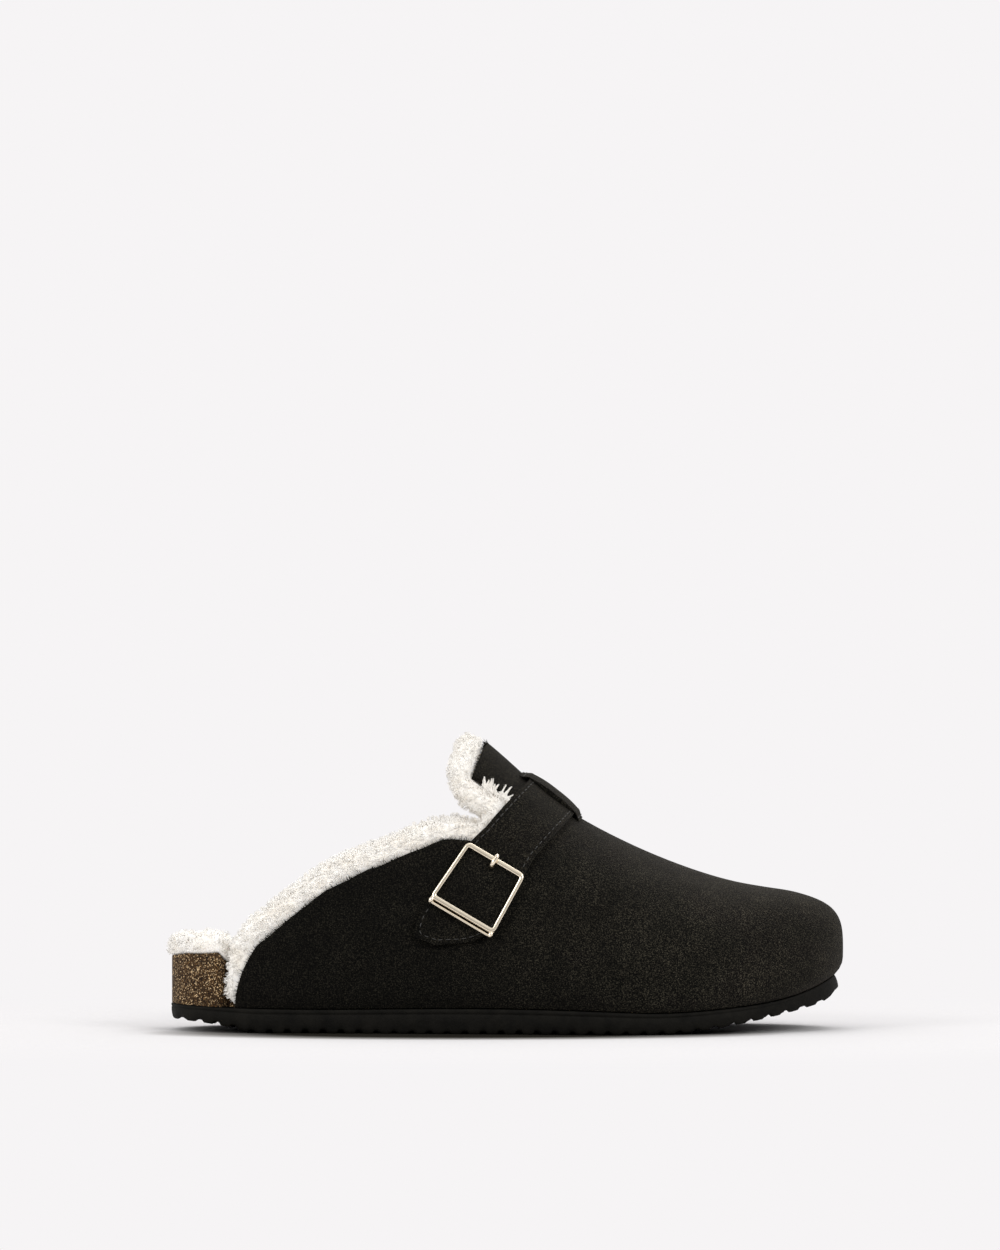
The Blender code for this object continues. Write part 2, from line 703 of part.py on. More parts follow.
def strap_line():
    """The strap's middle line from its free tip over the ridge to its sewn end: sides, rises and lengths."""
    sides, rises = [], []
    for side, end in ((LATERAL, STRAP_TIP_HEIGHT), (MEDIAL, STRAP_FIXED_HEIGHT)):
        x, _ = strap_middle(end)
        start = float(rise_at(x / SOLE_LENGTH, end, side))
        run = np.linspace(start, 1.0, 60)
        sides.append(np.full(run.shape, side))
        rises.append(run)
    sides = np.concatenate([sides[0], sides[1][::-1][1:]])
    rises = np.concatenate([rises[0], rises[1][::-1][1:]])
    points = np.array([last_point(on_strap(0.0, r, s), r, s) for s, r in zip(sides, rises)])
    length = np.concatenate([[0], np.cumsum(np.linalg.norm(np.diff(points, axis=0), axis=1))])
    return sides, rises, points, length


def strap_rows(sides, rises, length, wanted):
    """Side and rise at wanted lengths along the strap."""
    signed = np.where(sides < 0, rises - 1, 1 - rises)
    at = np.interp(wanted, length, signed)
    return np.where(at <= 0, LATERAL, MEDIAL), 1 - np.abs(at)


def lifted(across, rise, side, offset):
    """A point over the last, at a distance across the strap and an offset out of the last."""
    station = on_strap(across, rise, side)
    return last_point(station, rise, side) + last_normal(station, rise, side) * offset


def strap(suede, parent, line, prong_at):
    """The instep strap: a rounded free tip outside, over the ridge, sewn inside, with the prong's hole."""
    sides, rises, _, length = line
    tip = STRAP_WIDTH * np.array(TIP)
    rest = np.linspace(tip[TIP_ROWS - 1, 0], length[-1], STRAP_ROWS)[1:]
    wanted = np.concatenate([tip[:TIP_ROWS, 0], rest])
    widths = np.interp(wanted, tip[:, 0], tip[:, 1])
    middles = np.interp(wanted, tip[:, 0], tip[:, 2])
    share = np.linspace(-1, 1, 5)
    outer, inner = [], []
    for side, rise, width, middle in zip(*strap_rows(sides, rises, length, wanted), widths, middles):
        across = middle + share * width
        inner.append(lifted(across, rise, side, CLEARANCE))
        outer.append(lifted(across, rise, side, CLEARANCE + STRAP_THICKNESS))
    made = closed_sheet("strap", np.array(outer), np.array(inner), suede, parent)
    drill = cylinder("prong_hole_cutter", PRONG_HOLE_RADIUS, 4 * STRAP_THICKNESS, prong_at, parent, suede)
    boolean(made, drill, "DIFFERENCE")
    return made


def keeper(suede, parent):
    """The keeper: a patch over the ridge, sewn down before and behind the strap that runs under it."""
    half, end = STRAP_WIDTH / 2 + CLEARANCE, KEEPER_LENGTH / 2
    across = np.interp([row.across for row in KEEPER], (-2, -1, 1, 2), (-end, -half, half, end))
    height = CLEARANCE + (STRAP_THICKNESS + CLEARANCE) * np.array([row.under for row in KEEPER])
    thick = KEEPER_THICKNESS * np.array([row.thick for row in KEEPER])
    outer, inner = [], []
    for side, rise in keeper_rows():
        station = on_strap(across, rise, side)
        point, normal = last_point(station, rise, side), last_normal(station, rise, side)
        inner.append(point + normal * height[:, None])
        outer.append(point + normal * (height + thick)[:, None])
    return closed_sheet("strap_keeper", np.array(outer), np.array(inner), suede, parent)


def keeper_rows():
    """Sides and rises of the keeper's rows, from its lateral edge over the ridge to its medial edge."""
    rows = []
    for side in (LATERAL, MEDIAL):
        run = np.linspace(0.5, 1.0, 200)
        points = last_point(on_strap(np.zeros(200), run, side), run, side)
        reach = np.linalg.norm(np.diff(points, axis=0), axis=1)[::-1].cumsum()[::-1]
        start = float(np.interp(-KEEPER_WIDTH / 2, -reach, run[:-1]))
        rows.append([(side, r) for r in np.linspace(start, 1.0, 5)])
    return rows[0] + rows[1][::-1][1:]


# Buckle
def buckle_frame_matrix(line):
    """Where the buckle lies: on the strap at its middle height, tangent to it at the frame's two bars."""
    sides, rises, points, length = line
    lateral = sides < 0
    middle = np.interp(STRAP_MIDDLE_HEIGHT, points[lateral, 2], length[lateral])
    bars = []
    for reach in (-BUCKLE_HEIGHT / 2, BUCKLE_HEIGHT / 2):
        side, rise = strap_rows(sides, rises, length, np.array([middle + reach]))
        bars.append(lifted(0.0, rise[0], side[0], CLEARANCE + STRAP_THICKNESS + BUCKLE_LIFT))
    side, rise = strap_rows(sides, rises, length, np.array([middle]))
    forward = lifted(0.005, rise[0], LATERAL, 0.0) - lifted(-0.005, rise[0], LATERAL, 0.0)
    up = Vector(bars[1] - bars[0]).normalized()
    right = Vector(forward)
    right = (right - up * right.dot(up)).normalized()
    out = right.cross(up)
    centre = Vector((bars[0] + bars[1]) / 2)
    matrix = Matrix((right, up, out)).transposed().to_4x4()
    matrix.translation = centre
    return matrix


def cylinder(name, radius, length, matrix, parent, finish):
    """A cylinder along its own Z axis, centred on its origin and placed by a matrix."""
    work = bmesh.new()
    bmesh.ops.create_cone(work, cap_ends=True, segments=16, radius1=radius, radius2=radius, depth=length)
    mesh = bpy.data.meshes.new(name)
    work.to_mesh(mesh)
    work.free()
    mesh.materials.append(finish)
    made = bpy.data.objects.new(name, mesh)
    bpy.context.scene.collection.objects.link(made)
    made.parent = parent
    made.matrix_local = matrix
    return made


def rounded_frame_path():
    """Corners of the buckle as points, with the bar's width at each: a trapezoid with rounded corners."""
    top, bottom = BUCKLE_TOP_WIDTH / 2, BUCKLE_BOTTOM_WIDTH / 2
    high = BUCKLE_HEIGHT / 2
    corners = ((top, high, 0), (-top, high, 90), (-bottom, -high, 180), (bottom, -high, 270))
    path = []
    for x, y, turn in corners:
        centre_x = x - math.copysign(BUCKLE_CORNER, x)
        centre_y = y - math.copysign(BUCKLE_CORNER, y)
        for step in range(5):
            angle = math.radians(turn + 90 * step / 4)
            out = Vector((math.cos(angle), math.sin(angle)))
            flat = abs(out.y)
            width = BUCKLE_SIDE + (BUCKLE_BAR - BUCKLE_SIDE) * flat
            path.append((Vector((centre_x, centre_y)) + out * BUCKLE_CORNER, out, width))
    return path


def bar_section(width, depth):
    """Eight points of a bar with bevelled edges: distance in from the outer edge, and height."""
    low, high = 0.3, 0.7
    shares = ((0, low), (0, high), (low, 1), (high, 1), (1, high), (1, low), (high, 0), (low, 0))
    return [(width * inward, depth * height) for inward, height in shares]


def rod(name, path, plane, radius, finish, parent, around=8):
    """A round rod along a path of points in one plane, which is given by its normal."""
    path = np.array(path, float)
    rings = []
    for i, point in enumerate(path):
        ahead = path[min(i + 1, len(path) - 1)] - path[max(i - 1, 0)]
        ahead = ahead / np.linalg.norm(ahead)
        first = np.cross(plane, ahead)
        first = first / np.linalg.norm(first)
        second = np.cross(ahead, first)
        angles = np.linspace(0, 2 * np.pi, around, endpoint=False)
        rings.append(point + radius * (np.outer(np.cos(angles), first) + np.outer(np.sin(angles), second)))
    return swept(name, np.array(rings), finish, parent)


def prong_place(back):
    """Where a row of the prong stands along the buckle: behind the top bar, in its middle, or before it."""
    bar, top = BUCKLE_BAR / 2, BUCKLE_HEIGHT / 2
    if back > 0:
        return top - BUCKLE_BAR - PRONG_SETBACK * back
    return top + PRONG_REACH * -back if back < 0 else top - bar


def buckle(gold, parent, matrix):
    """The buckle frame with its second, thin anchor bar below, and the tip of the prong over its top bar."""
    rings = []
    for point, out, width in rounded_frame_path():
        rings.append([
            (point.x - out.x * inward, point.y - out.y * inward, height)
            for inward, height in bar_section(width, BUCKLE_DEPTH)
        ])
    frame = swept("buckle_frame", np.array(rings), gold, parent, closed=True)
    frame.matrix_local = matrix
    side, low = BUCKLE_BOTTOM_WIDTH / 2 - BUCKLE_SIDE / 2, -BUCKLE_HEIGHT / 2
    level = BUCKLE_DEPTH * 0.45
    bend = ANCHOR_BAR_DROP
    half = [
        (side, low + 2 * BUCKLE_CORNER), (side + 0.1 * bend, low + 0.3 * bend),
        (side - 0.3 * bend, low - 0.6 * bend), (side - bend, low - bend),
    ]
    anchor_path = [(-x, y, level) for x, y in half] + [(x, y, level) for x, y in reversed(half)]
    anchor = rod("anchor_bar", anchor_path, (0, 0, 1), ANCHOR_BAR_RADIUS, gold, parent)
    anchor.matrix_local = matrix
    boolean(frame, anchor, "UNION")
    prong_path = [(0, prong_place(row.back), PRONG_OVER * row.high) for row in PRONG]
    prong = rod("buckle_prong", prong_path, (1, 0, 0), PRONG_RADIUS, gold, parent, around=10)
    prong.matrix_local = matrix
    return frame, prong


# Pile trim
def trim(name, path, pile, parent):
    """A curly bead along an edge of the upper, inside its wall: locks stand up in rows round it.

    Each row of path holds a point of the last, its outward normal, the direction beyond the edge, and how
    deep and how wide the bead is, from 0, flattened against the wall, to 1."""
    count = len(path)
    angles = np.linspace(0, 2 * np.pi, TRIM_AROUND, endpoint=False)
    length = 0.0
    rings = []
    for i, (point, normal, beyond, deep, broad) in enumerate(path):
        if i:
            length += float(np.linalg.norm(point - path[i - 1][0]))
        thick = TRIM_FLAT_DEEP + (TRIM_DEEP - TRIM_FLAT_DEEP) * deep
        wide = TRIM_FLAT_WIDE + (TRIM_WIDE - TRIM_FLAT_WIDE) * broad
        end = min(i, count - 1 - i)
        taper = (0.35, 0.75, 1.0)[min(end, 2)]
        inward = WALL + CLEARANCE + TRIM_PRESS * thick
        centre = point - normal * inward + beyond * (wide * (0.10 + 0.48 * broad))
        turn = 2 * np.pi * length / LOCK_PITCH
        locks = 1 + TRIM_LOCKS * np.cos(turn + 2.4 * angles) * np.cos(3 * angles + 0.6)
        hug = 1 - 0.05 * np.clip(np.cos(angles), 0, 1)
        radius = taper * np.minimum(locks, np.where(np.cos(angles) > 0.4, 1.0, 2.0)) * hug
        ring = centre + np.outer(radius * np.cos(angles) * thick, normal) + np.outer(
            radius * np.sin(angles) * wide, beyond
        )
        rings.append(ring)
    return swept(name, np.array(rings), pile, parent)


def edge_path(points, deep, broad, reverse):
    """The rows that trim needs, from points as (along, rise, side) on the last."""
    places = np.array([last_point(station_of(a), r, s) for a, r, s in points])
    normals = np.array([last_normal(station_of(a), r, s) for a, r, s in points])
    rows = []
    for i in range(len(places)):
        ahead = places[min(i + 2, len(places) - 1)] - places[max(i - 2, 0)]
        beyond = np.cross(normals[i], ahead) * reverse
        beyond = beyond / np.linalg.norm(beyond)
        rows.append((places[i], normals[i], beyond, deep[i], broad[i]))
    return rows


def quarter_trim(name, side, pile, parent):
    """The trim of one quarter: up its back edge and along its top edge to the notch."""
    back = np.linspace(0.06, 1, 10)
    corner = COLLAR_CORNER - BACK_LEAN / SOLE_LENGTH
    back_along = corner + BACK_LEAN / SOLE_LENGTH * back**2
    low = sole_top(back_along) + TRIM_START
    back_height = low + (QUARTER_HEIGHT * float(collar_share(COLLAR_CORNER)) - low) * back
    top_along = np.linspace(COLLAR_CORNER, NOTCH_ALONG - TRIM_STOP, 44)[1:]
    along = np.concatenate([back_along, top_along])
    height = np.concatenate([back_height, QUARTER_HEIGHT * collar_share(top_along)])
    kernel = np.array([1, 2, 3, 2, 1]) / 9
    along[2:-2], height[2:-2] = np.convolve(along, kernel, "valid"), np.convolve(height, kernel, "valid")
    rise = rise_at(along, height, side)
    slim = 1 - 0.3 * np.clip((along - 0.40) / 0.10, 0, 1)
    deep = slim * np.clip((height - TRIM_SWELL_FROM) / TRIM_SWELL_RISE, 0, 1)
    broad = slim * np.clip((height - TRIM_WIDEN_FROM) / TRIM_WIDEN_RISE, 0, 1)
    points = [(a, r, side) for a, r in zip(along, rise)]
    return trim(name, edge_path(points, deep, broad, -side), pile, parent)


def tongue_trim(pile, parent):
    """The trim of the tongue: up one side edge, round its end and down the other."""
    steps = np.linspace(0.22, 1, 14)
    halves = []
    for side in (LATERAL, MEDIAL):
        edge_along = tongue_edge(steps)
        rise = rise_at(edge_along, TONGUE_HEIGHT * tongue_height(steps), side)
        run = [(a, r, side) for a, r in zip(edge_along, rise)]
        end_along, end_rise = float(tongue_edge(1.0)), float(rise[-1])
        for row in np.linspace(0, 1, 8)[1:]:
            bowed = end_along + (float(tongue_ridge(1.0)) - end_along) * (1 - (1 - row) ** 2)
            run.append((bowed, end_rise + (1 - end_rise) * row, side))
        halves.append(run)
    points = halves[0] + halves[1][::-1][1:]
    full = np.ones(len(points))
    return trim("pile_trim_tongue", edge_path(points, full, full, 1), pile, parent)


def centre_on_floor(root, nodes):
    """Moves the whole shoe so that the origin is under the middle of its box."""
    bpy.context.view_layer.update()
    graph = bpy.context.evaluated_depsgraph_get()
    corners = []
    for node in nodes:
        solid = node.evaluated_get(graph)
        mesh = solid.to_mesh()
        corners += [solid.matrix_world @ v.co for v in mesh.vertices]
        solid.to_mesh_clear()
    corners = np.array(corners)
    low, high = corners.min(axis=0), corners.max(axis=0)
    root.location = (-(low[0] + high[0]) / 2, -(low[1] + high[1]) / 2, 0)


def main():
    for old in list(bpy.data.objects):
        bpy.data.objects.remove(old)
    root = bpy.data.objects.new("clog", None)
    bpy.context.scene.collection.objects.link(root)

    suede = material("black_suede", SUEDE_BLACK, 0.95)
    strap_suede = material("black_strap_suede", SUEDE_BLACK, 0.92)
    keeper_suede = material("black_keeper_suede", SUEDE_BLACK, 0.92)
    black_rubber = material("black_rubber", RUBBER_BLACK, 0.75)
    cork = material("brown_cork", CORK_BROWN, 0.85)
    pile = material("cream_pile", PILE_CREAM, 1.0)
    trim_pile = material("cream_trim_pile", PILE_CREAM, 1.0)
    gold = material("pale_gold", PALE_GOLD, 0.22, metallic=1.0)

    line = strap_line()
    buckle_at = buckle_frame_matrix(line)
    prong_at = buckle_at @ Matrix.Translation((0, prong_place(1), 0))
    nodes = [
        outsole(black_rubber, root),
        footbed(cork, root),
        insole(pile, root),
        upper(suede, root),
        quarter_trim("pile_trim_lateral", LATERAL, trim_pile, root),
        quarter_trim("pile_trim_medial", MEDIAL, trim_pile, root),
        tongue_trim(trim_pile, root),
        strap(strap_suede, root, line, prong_at),
        keeper(keeper_suede, root),
        *buckle(gold, root, buckle_at),
    ]
    centre_on_floor(root, nodes)


main()
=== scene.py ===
# %% [markdown]
# # A pile-lined clog, dressed for its picture
#
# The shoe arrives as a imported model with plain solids. This lesson keeps every solid's place and size and
# gives each of them the surface of the real thing: brushed suede, curly pile, speckled cork, moulded rubber
# and polished metal. Each piece is drawn again at a finer grain, from the same rules that shaped the
# solids, so the fine model can't drift away from the coarse one.

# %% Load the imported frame
import json
import math
from collections import namedtuple

import bmesh
import bpy
import numpy as np
from mathutils import Matrix, Vector
from mathutils.kdtree import KDTree

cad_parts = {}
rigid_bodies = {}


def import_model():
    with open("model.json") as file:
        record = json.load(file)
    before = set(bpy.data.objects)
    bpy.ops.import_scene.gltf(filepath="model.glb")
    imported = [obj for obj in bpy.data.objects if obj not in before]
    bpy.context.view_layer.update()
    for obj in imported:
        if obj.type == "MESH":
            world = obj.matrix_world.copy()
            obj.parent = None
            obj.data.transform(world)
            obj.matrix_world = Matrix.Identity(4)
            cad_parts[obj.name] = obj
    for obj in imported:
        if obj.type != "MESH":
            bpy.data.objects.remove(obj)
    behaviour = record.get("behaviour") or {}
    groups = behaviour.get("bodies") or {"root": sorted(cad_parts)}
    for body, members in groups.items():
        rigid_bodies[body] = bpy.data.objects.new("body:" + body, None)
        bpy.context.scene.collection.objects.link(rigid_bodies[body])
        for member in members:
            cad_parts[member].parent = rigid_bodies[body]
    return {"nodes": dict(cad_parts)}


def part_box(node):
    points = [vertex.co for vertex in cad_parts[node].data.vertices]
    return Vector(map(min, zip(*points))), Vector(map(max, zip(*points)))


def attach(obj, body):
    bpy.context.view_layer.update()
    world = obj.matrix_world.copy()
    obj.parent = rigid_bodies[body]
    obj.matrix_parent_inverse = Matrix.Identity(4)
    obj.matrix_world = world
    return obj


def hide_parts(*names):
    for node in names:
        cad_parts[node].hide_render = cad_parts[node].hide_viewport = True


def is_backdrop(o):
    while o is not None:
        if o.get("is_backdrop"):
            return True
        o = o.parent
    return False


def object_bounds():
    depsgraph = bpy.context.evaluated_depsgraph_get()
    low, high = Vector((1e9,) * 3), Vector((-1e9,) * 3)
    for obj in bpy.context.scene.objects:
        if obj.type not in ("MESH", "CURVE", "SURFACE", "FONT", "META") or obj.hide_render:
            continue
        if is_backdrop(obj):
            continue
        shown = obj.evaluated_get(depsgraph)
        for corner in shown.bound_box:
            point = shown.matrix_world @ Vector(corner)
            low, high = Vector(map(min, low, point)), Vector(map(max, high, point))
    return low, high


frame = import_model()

cad_box = [list(corner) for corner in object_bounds()]
print("solids:", ", ".join(sorted(frame["nodes"])))
print("box in mm:", [[round(1000 * v, 1) for v in corner] for corner in cad_box])

# %% [markdown]
# ## The shoe's own sizes
#
# A last maker works from few sizes: length, ball width, instep height, and the thickness of the sole. The
# rest are shares of these. The same sizes made the solids, so they are repeated here with their names.
# Everything is in metres, +X points to the toe, and the outer side of this right shoe is -Y.

# %% Name the sizes
SOLE_LENGTH = 0.258
BALL_WIDTH = 0.095
TONGUE_HEIGHT = 0.110
QUARTER_HEIGHT = 0.0742
SOLE_THICKNESS = 0.008
TOE_SPRING = 0.0128
FOOTBED_RIM = 0.0215
CLEARANCE = 0.0003
WALL = 0.0020
HEEL_CAP, HEEL_ROUND = 0.135, 2.1
TOE_CAP, TOE_ROUND = 0.30, 2.15
HEEL_ROCKER, HEEL_ROCKER_SHARE = 0.0044, 0.125
SPRING_START, SPRING_POWER = 0.70, 1.75
TOE_BEVEL, TOE_BEVEL_SHARE = 0.0035, 0.034
FEATHER_INSET = 0.0013
BELLY_SHARE = 0.16
SPINE_END, SPINE_REACH = 0.60, 0.22
BACK_LEAN = 0.0087
COLLAR_CORNER = 0.133
NOTCH_ALONG, NOTCH_HEIGHT = 0.535, 0.0760
LATERAL, MEDIAL = -1.0, 1.0
print(f"the shoe is {SOLE_LENGTH * 1000:.0f} mm long over its sole")

# %% [markdown]
# ## Tables for the plan, the sections and the edges
#
# A shoe's form lives in a few sections: how wide the sole is, how high the ridge runs, how full the sides
# are. Short tables hold them as shares of the sizes above, and a smooth curve joins the rows. Moving one
# row moves a whole region softly, which is how a last is corrected with a rasp.

# %% Write the tables
Plan = namedtuple("Plan", "along centre half")
PLAN = (
    Plan(0.00, -0.004, 0.348),
    Plan(0.12, -0.008, 0.350),
    Plan(0.25, -0.026, 0.351),
    Plan(0.40, -0.055, 0.363),
    Plan(0.52, -0.061, 0.402),
    Plan(0.62, -0.045, 0.455),
    Plan(0.70, -0.022, 0.487),
    Plan(0.80, 0.010, 0.500),
    Plan(0.90, 0.048, 0.495),
    Plan(1.00, 0.082, 0.480),
)
Section = namedtuple("Section", "along ridge roof belly bulge side top")
SECTIONS = (
    Section(0.00, -0.010, 1.190, 1.70, 0.00, 0.62, 0.50),
    Section(0.20, -0.018, 1.190, 1.70, 0.10, 0.62, 0.50),
    Section(0.36, -0.012, 1.150, 1.70, 0.20, 0.62, 0.50),
    Section(0.47, 0.008, 1.012, 1.65, 0.30, 0.60, 0.50),
    Section(0.52, 0.018, 0.910, 1.60, 0.35, 0.59, 0.53),
    Section(0.57, 0.028, 0.808, 1.55, 0.40, 0.59, 0.57),
    Section(0.63, 0.038, 0.718, 1.50, 0.40, 0.60, 0.61),
    Section(0.70, 0.050, 0.636, 1.45, 0.45, 0.62, 0.65),
    Section(0.78, 0.062, 0.561, 1.35, 0.50, 0.65, 0.70),
    Section(0.86, 0.074, 0.510, 1.25, 0.60, 0.69, 0.77),
    Section(0.94, 0.084, 0.4925, 1.30, 0.80, 0.76, 0.90),
    Section(1.00, 0.090, 0.478, 1.60, 0.90, 0.80, 1.00),
)
Collar = namedtuple("Collar", "along height")
COLLAR = (
    Collar(0.133, 0.458),
    Collar(0.192, 0.622),
    Collar(0.252, 0.768),
    Collar(0.312, 0.862),
    Collar(0.372, 0.948),
    Collar(0.417, 0.999),
    Collar(0.462, 0.985),
    Collar(0.500, 0.990),
    Collar(0.535, 1.030),
)
Tongue = namedtuple("Tongue", "step edge height ridge")
TONGUE = (
    Tongue(0.00, 0.535, 0.691, 0.535),
    Tongue(0.35, 0.510, 0.812, 0.516),
    Tongue(0.65, 0.486, 0.850, 0.498),
    Tongue(0.85, 0.467, 0.872, 0.484),
    Tongue(1.00, 0.451, 0.892, 0.473),
)
SoleEdge = namedtuple("SoleEdge", "along thickness")
SOLE_EDGE = (
    SoleEdge(0.00, 1.29),
    SoleEdge(0.20, 1.13),
    SoleEdge(0.40, 1.19),
    SoleEdge(0.55, 1.17),
    SoleEdge(0.70, 1.02),
    SoleEdge(0.85, 0.80),
    SoleEdge(0.95, 0.78),
    SoleEdge(1.00, 1.08),
)
Footbed = namedtuple("Footbed", "along seat rim")
FOOTBED = (
    Footbed(0.00, 0.67, 0.83),
    Footbed(0.08, 0.59, 1.00),
    Footbed(0.25, 0.585, 1.03),
    Footbed(0.42, 0.62, 0.94),
    Footbed(0.60, 0.47, 0.64),
    Footbed(0.78, 0.35, 0.45),
    Footbed(1.00, 0.46, 0.50),
)
Fit = namedtuple("Fit", "along bed pile")
FITS = (
    Fit(0.000, 0.15, -0.60),
    Fit(0.074, 0.15, -0.60),
    Fit(0.079, 3.10, 3.30),
    Fit(0.105, 3.10, 6.60),
    Fit(0.180, 2.60, 7.60),
    Fit(0.240, 1.85, 2.30),
    Fit(1.000, 1.85, 2.00),
)
print("sections of the last:", len(SECTIONS))

# %% [markdown]
# ## A smooth curve through each column
#
# The rows are joined with a natural cubic curve, the line a thin wooden batten takes between nails. It has
# no kinks, so no ridge shows on the suede where two rows meet.

# %% Read a table as a curve
def reader(rows, column):
    """A smooth curve through one column of a table, as a function of its first column."""
    at = np.array([row[0] for row in rows])
    value = np.array([getattr(row, column) for row in rows])
    step = np.diff(at)
    count = len(at)
    left, right = np.zeros((count, count)), np.zeros(count)
    left[0, 0] = left[-1, -1] = 1.0
    for i in range(1, count - 1):
        left[i, i - 1], left[i, i], left[i, i + 1] = step[i - 1], 2 * (step[i - 1] + step[i]), step[i]
        right[i] = 3 * ((value[i + 1] - value[i]) / step[i] - (value[i] - value[i - 1]) / step[i - 1])
    bend = np.linalg.solve(left, right)
    slope = np.diff(value) / step - step * (2 * bend[:-1] + bend[1:]) / 3
    grow = np.diff(bend) / (3 * step)

    def read(x):
        x = np.asarray(x, float)
        i = np.clip(np.searchsorted(at, x) - 1, 0, count - 2)
        d = x - at[i]
        return value[i] + d * (slope[i] + d * (bend[i] + d * grow[i]))

    return read


plan_centre, plan_half = reader(PLAN, "centre"), reader(PLAN, "half")
ridge_share, roof_share = reader(SECTIONS, "ridge"), reader(SECTIONS, "roof")
belly_share, bulge_share = reader(SECTIONS, "belly"), reader(SECTIONS, "bulge")
side_fullness, top_fullness = reader(SECTIONS, "side"), reader(SECTIONS, "top")
collar_share = reader(COLLAR, "height")
tongue_edge, tongue_height = reader(TONGUE, "edge"), reader(TONGUE, "height")
tongue_ridge = reader(TONGUE, "ridge")
sole_edge_share = reader(SOLE_EDGE, "thickness")
seat_share, rim_share = reader(FOOTBED, "seat"), reader(FOOTBED, "rim")
print(f"ridge over the ball: {TONGUE_HEIGHT * float(roof_share(0.70)) * 1000:.1f} mm")

# %% [markdown]
# ## The plan outline and the sole's heights
#
# The outline is a centre line with a half width, rounded off at heel and toe. The sole is flat under heel
# and ball, lifts a little behind the heel, and turns up under the toes so that the shoe rolls as the foot
# walks.

# %% Outline and sole
def along_of(station):
    """Share of the length at a station: 0 at the heel's back, 1 at the toe's tip, crowded at both ends."""
    return (1 - np.cos(np.pi * np.asarray(station, float))) / 2


def station_of(along):
    """The station at a share of the length."""
    return np.arccos(1 - 2 * np.clip(np.asarray(along, float), 0, 1)) / np.pi


def outline(station, side):
    """Plan outline of the sole at a station, as x and y."""
    along = along_of(station)
    heel = np.clip(1 - along / HEEL_CAP, 0, 1)
    toe = np.clip((along - 1 + TOE_CAP) / TOE_CAP, 0, 1)
    rounded = np.maximum(1 - heel**HEEL_ROUND, 0) ** (1 / HEEL_ROUND)
    rounded = rounded * np.maximum(1 - toe**TOE_ROUND, 0) ** (1 / TOE_ROUND)
    y = BALL_WIDTH * (plan_centre(along) + side * plan_half(along) * rounded)
    return SOLE_LENGTH * along, y


def edge(station, side, inset):
    """The plan outline moved in by inset, square to itself."""
    station = np.asarray(station, float)
    small = 1e-4
    x, y = outline(station, side)
    x0, y0 = outline(np.clip(station - small, 0, 1), side)
    x1, y1 = outline(np.clip(station + small, 0, 1), side)
    run, rise = x1 - x0, y1 - y0
    end = (station < small) | (station > 1 - small)
    length = np.maximum(np.hypot(run, rise), 1e-12)
    across = np.where(end, 0.0, -side * run / length)
    forward = np.where(end, np.where(station < 0.5, 1.0, -1.0), side * rise / length)
    return x + inset * forward, y + inset * across


def sole_bottom(along):
    """Height of the sole's lugs."""
    heel = 1 - np.clip(np.asarray(along) / HEEL_ROCKER_SHARE, 0, 1) ** 2
    toe = np.clip((np.asarray(along) - SPRING_START) / (1 - SPRING_START), 0, 1)
    tip = np.clip((np.asarray(along) - 1 + TOE_BEVEL_SHARE) / TOE_BEVEL_SHARE, 0, 1)
    return HEEL_ROCKER * heel + TOE_SPRING * toe**SPRING_POWER + TOE_BEVEL * tip**2


def sole_top(along):
    """Height of the sole's upper face, which stays level over the heel's rocker."""
    toe = np.clip((np.asarray(along) - SPRING_START) / (1 - SPRING_START), 0, 1)
    return TOE_SPRING * toe**SPRING_POWER + SOLE_THICKNESS * sole_edge_share(along)


plan_y = np.concatenate([outline(np.linspace(0, 1, 400), side)[1] for side in (LATERAL, MEDIAL)])
sole_low, sole_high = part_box("outsole")
SHIFT = np.array([sole_low.x, (sole_low.y + sole_high.y) / 2 - (plan_y.min() + plan_y.max()) / 2, 0.0])
print("the packed shoe stands at", [round(1000 * v, 2) for v in SHIFT], "mm from its own rules")

# %% [markdown]
# ## Three small sums
#
# A few sums come back all through the lesson, so each gets a name: a vector brought to length one, a share
# that starts and ends gently, and the length walked along a line of points.

# %% Vector and line helpers
def unit(vectors):
    """Vectors brought to length one."""
    return vectors / np.maximum(np.linalg.norm(vectors, axis=-1, keepdims=True), 1e-12)


def eased(share):
    """A share from 0 to 1 that starts and ends gently."""
    return share * share * (3 - 2 * share)


def running_length(points):
    """Length walked along a line up to each of its points."""
    return np.concatenate([[0], np.cumsum(np.linalg.norm(np.diff(points, axis=0), axis=1))])


print(f"a quarter eased is {eased(0.25):.3f}")

# %% [markdown]
# ## The last
#
# A shoemaker stretches the upper over a wooden last. Here the last is a surface of ribs: each rib leaves
# the sole's edge, bulges out a little, and runs up to the ridge along a smooth curve. A point is named by
# its station along the shoe and by its rise along the rib, so collar, tongue, strap and stitches can all be
# placed on it.

# %% The last's surface
def roof(along):
    """Height of the ridge of the last."""
    return TONGUE_HEIGHT * roof_share(along)


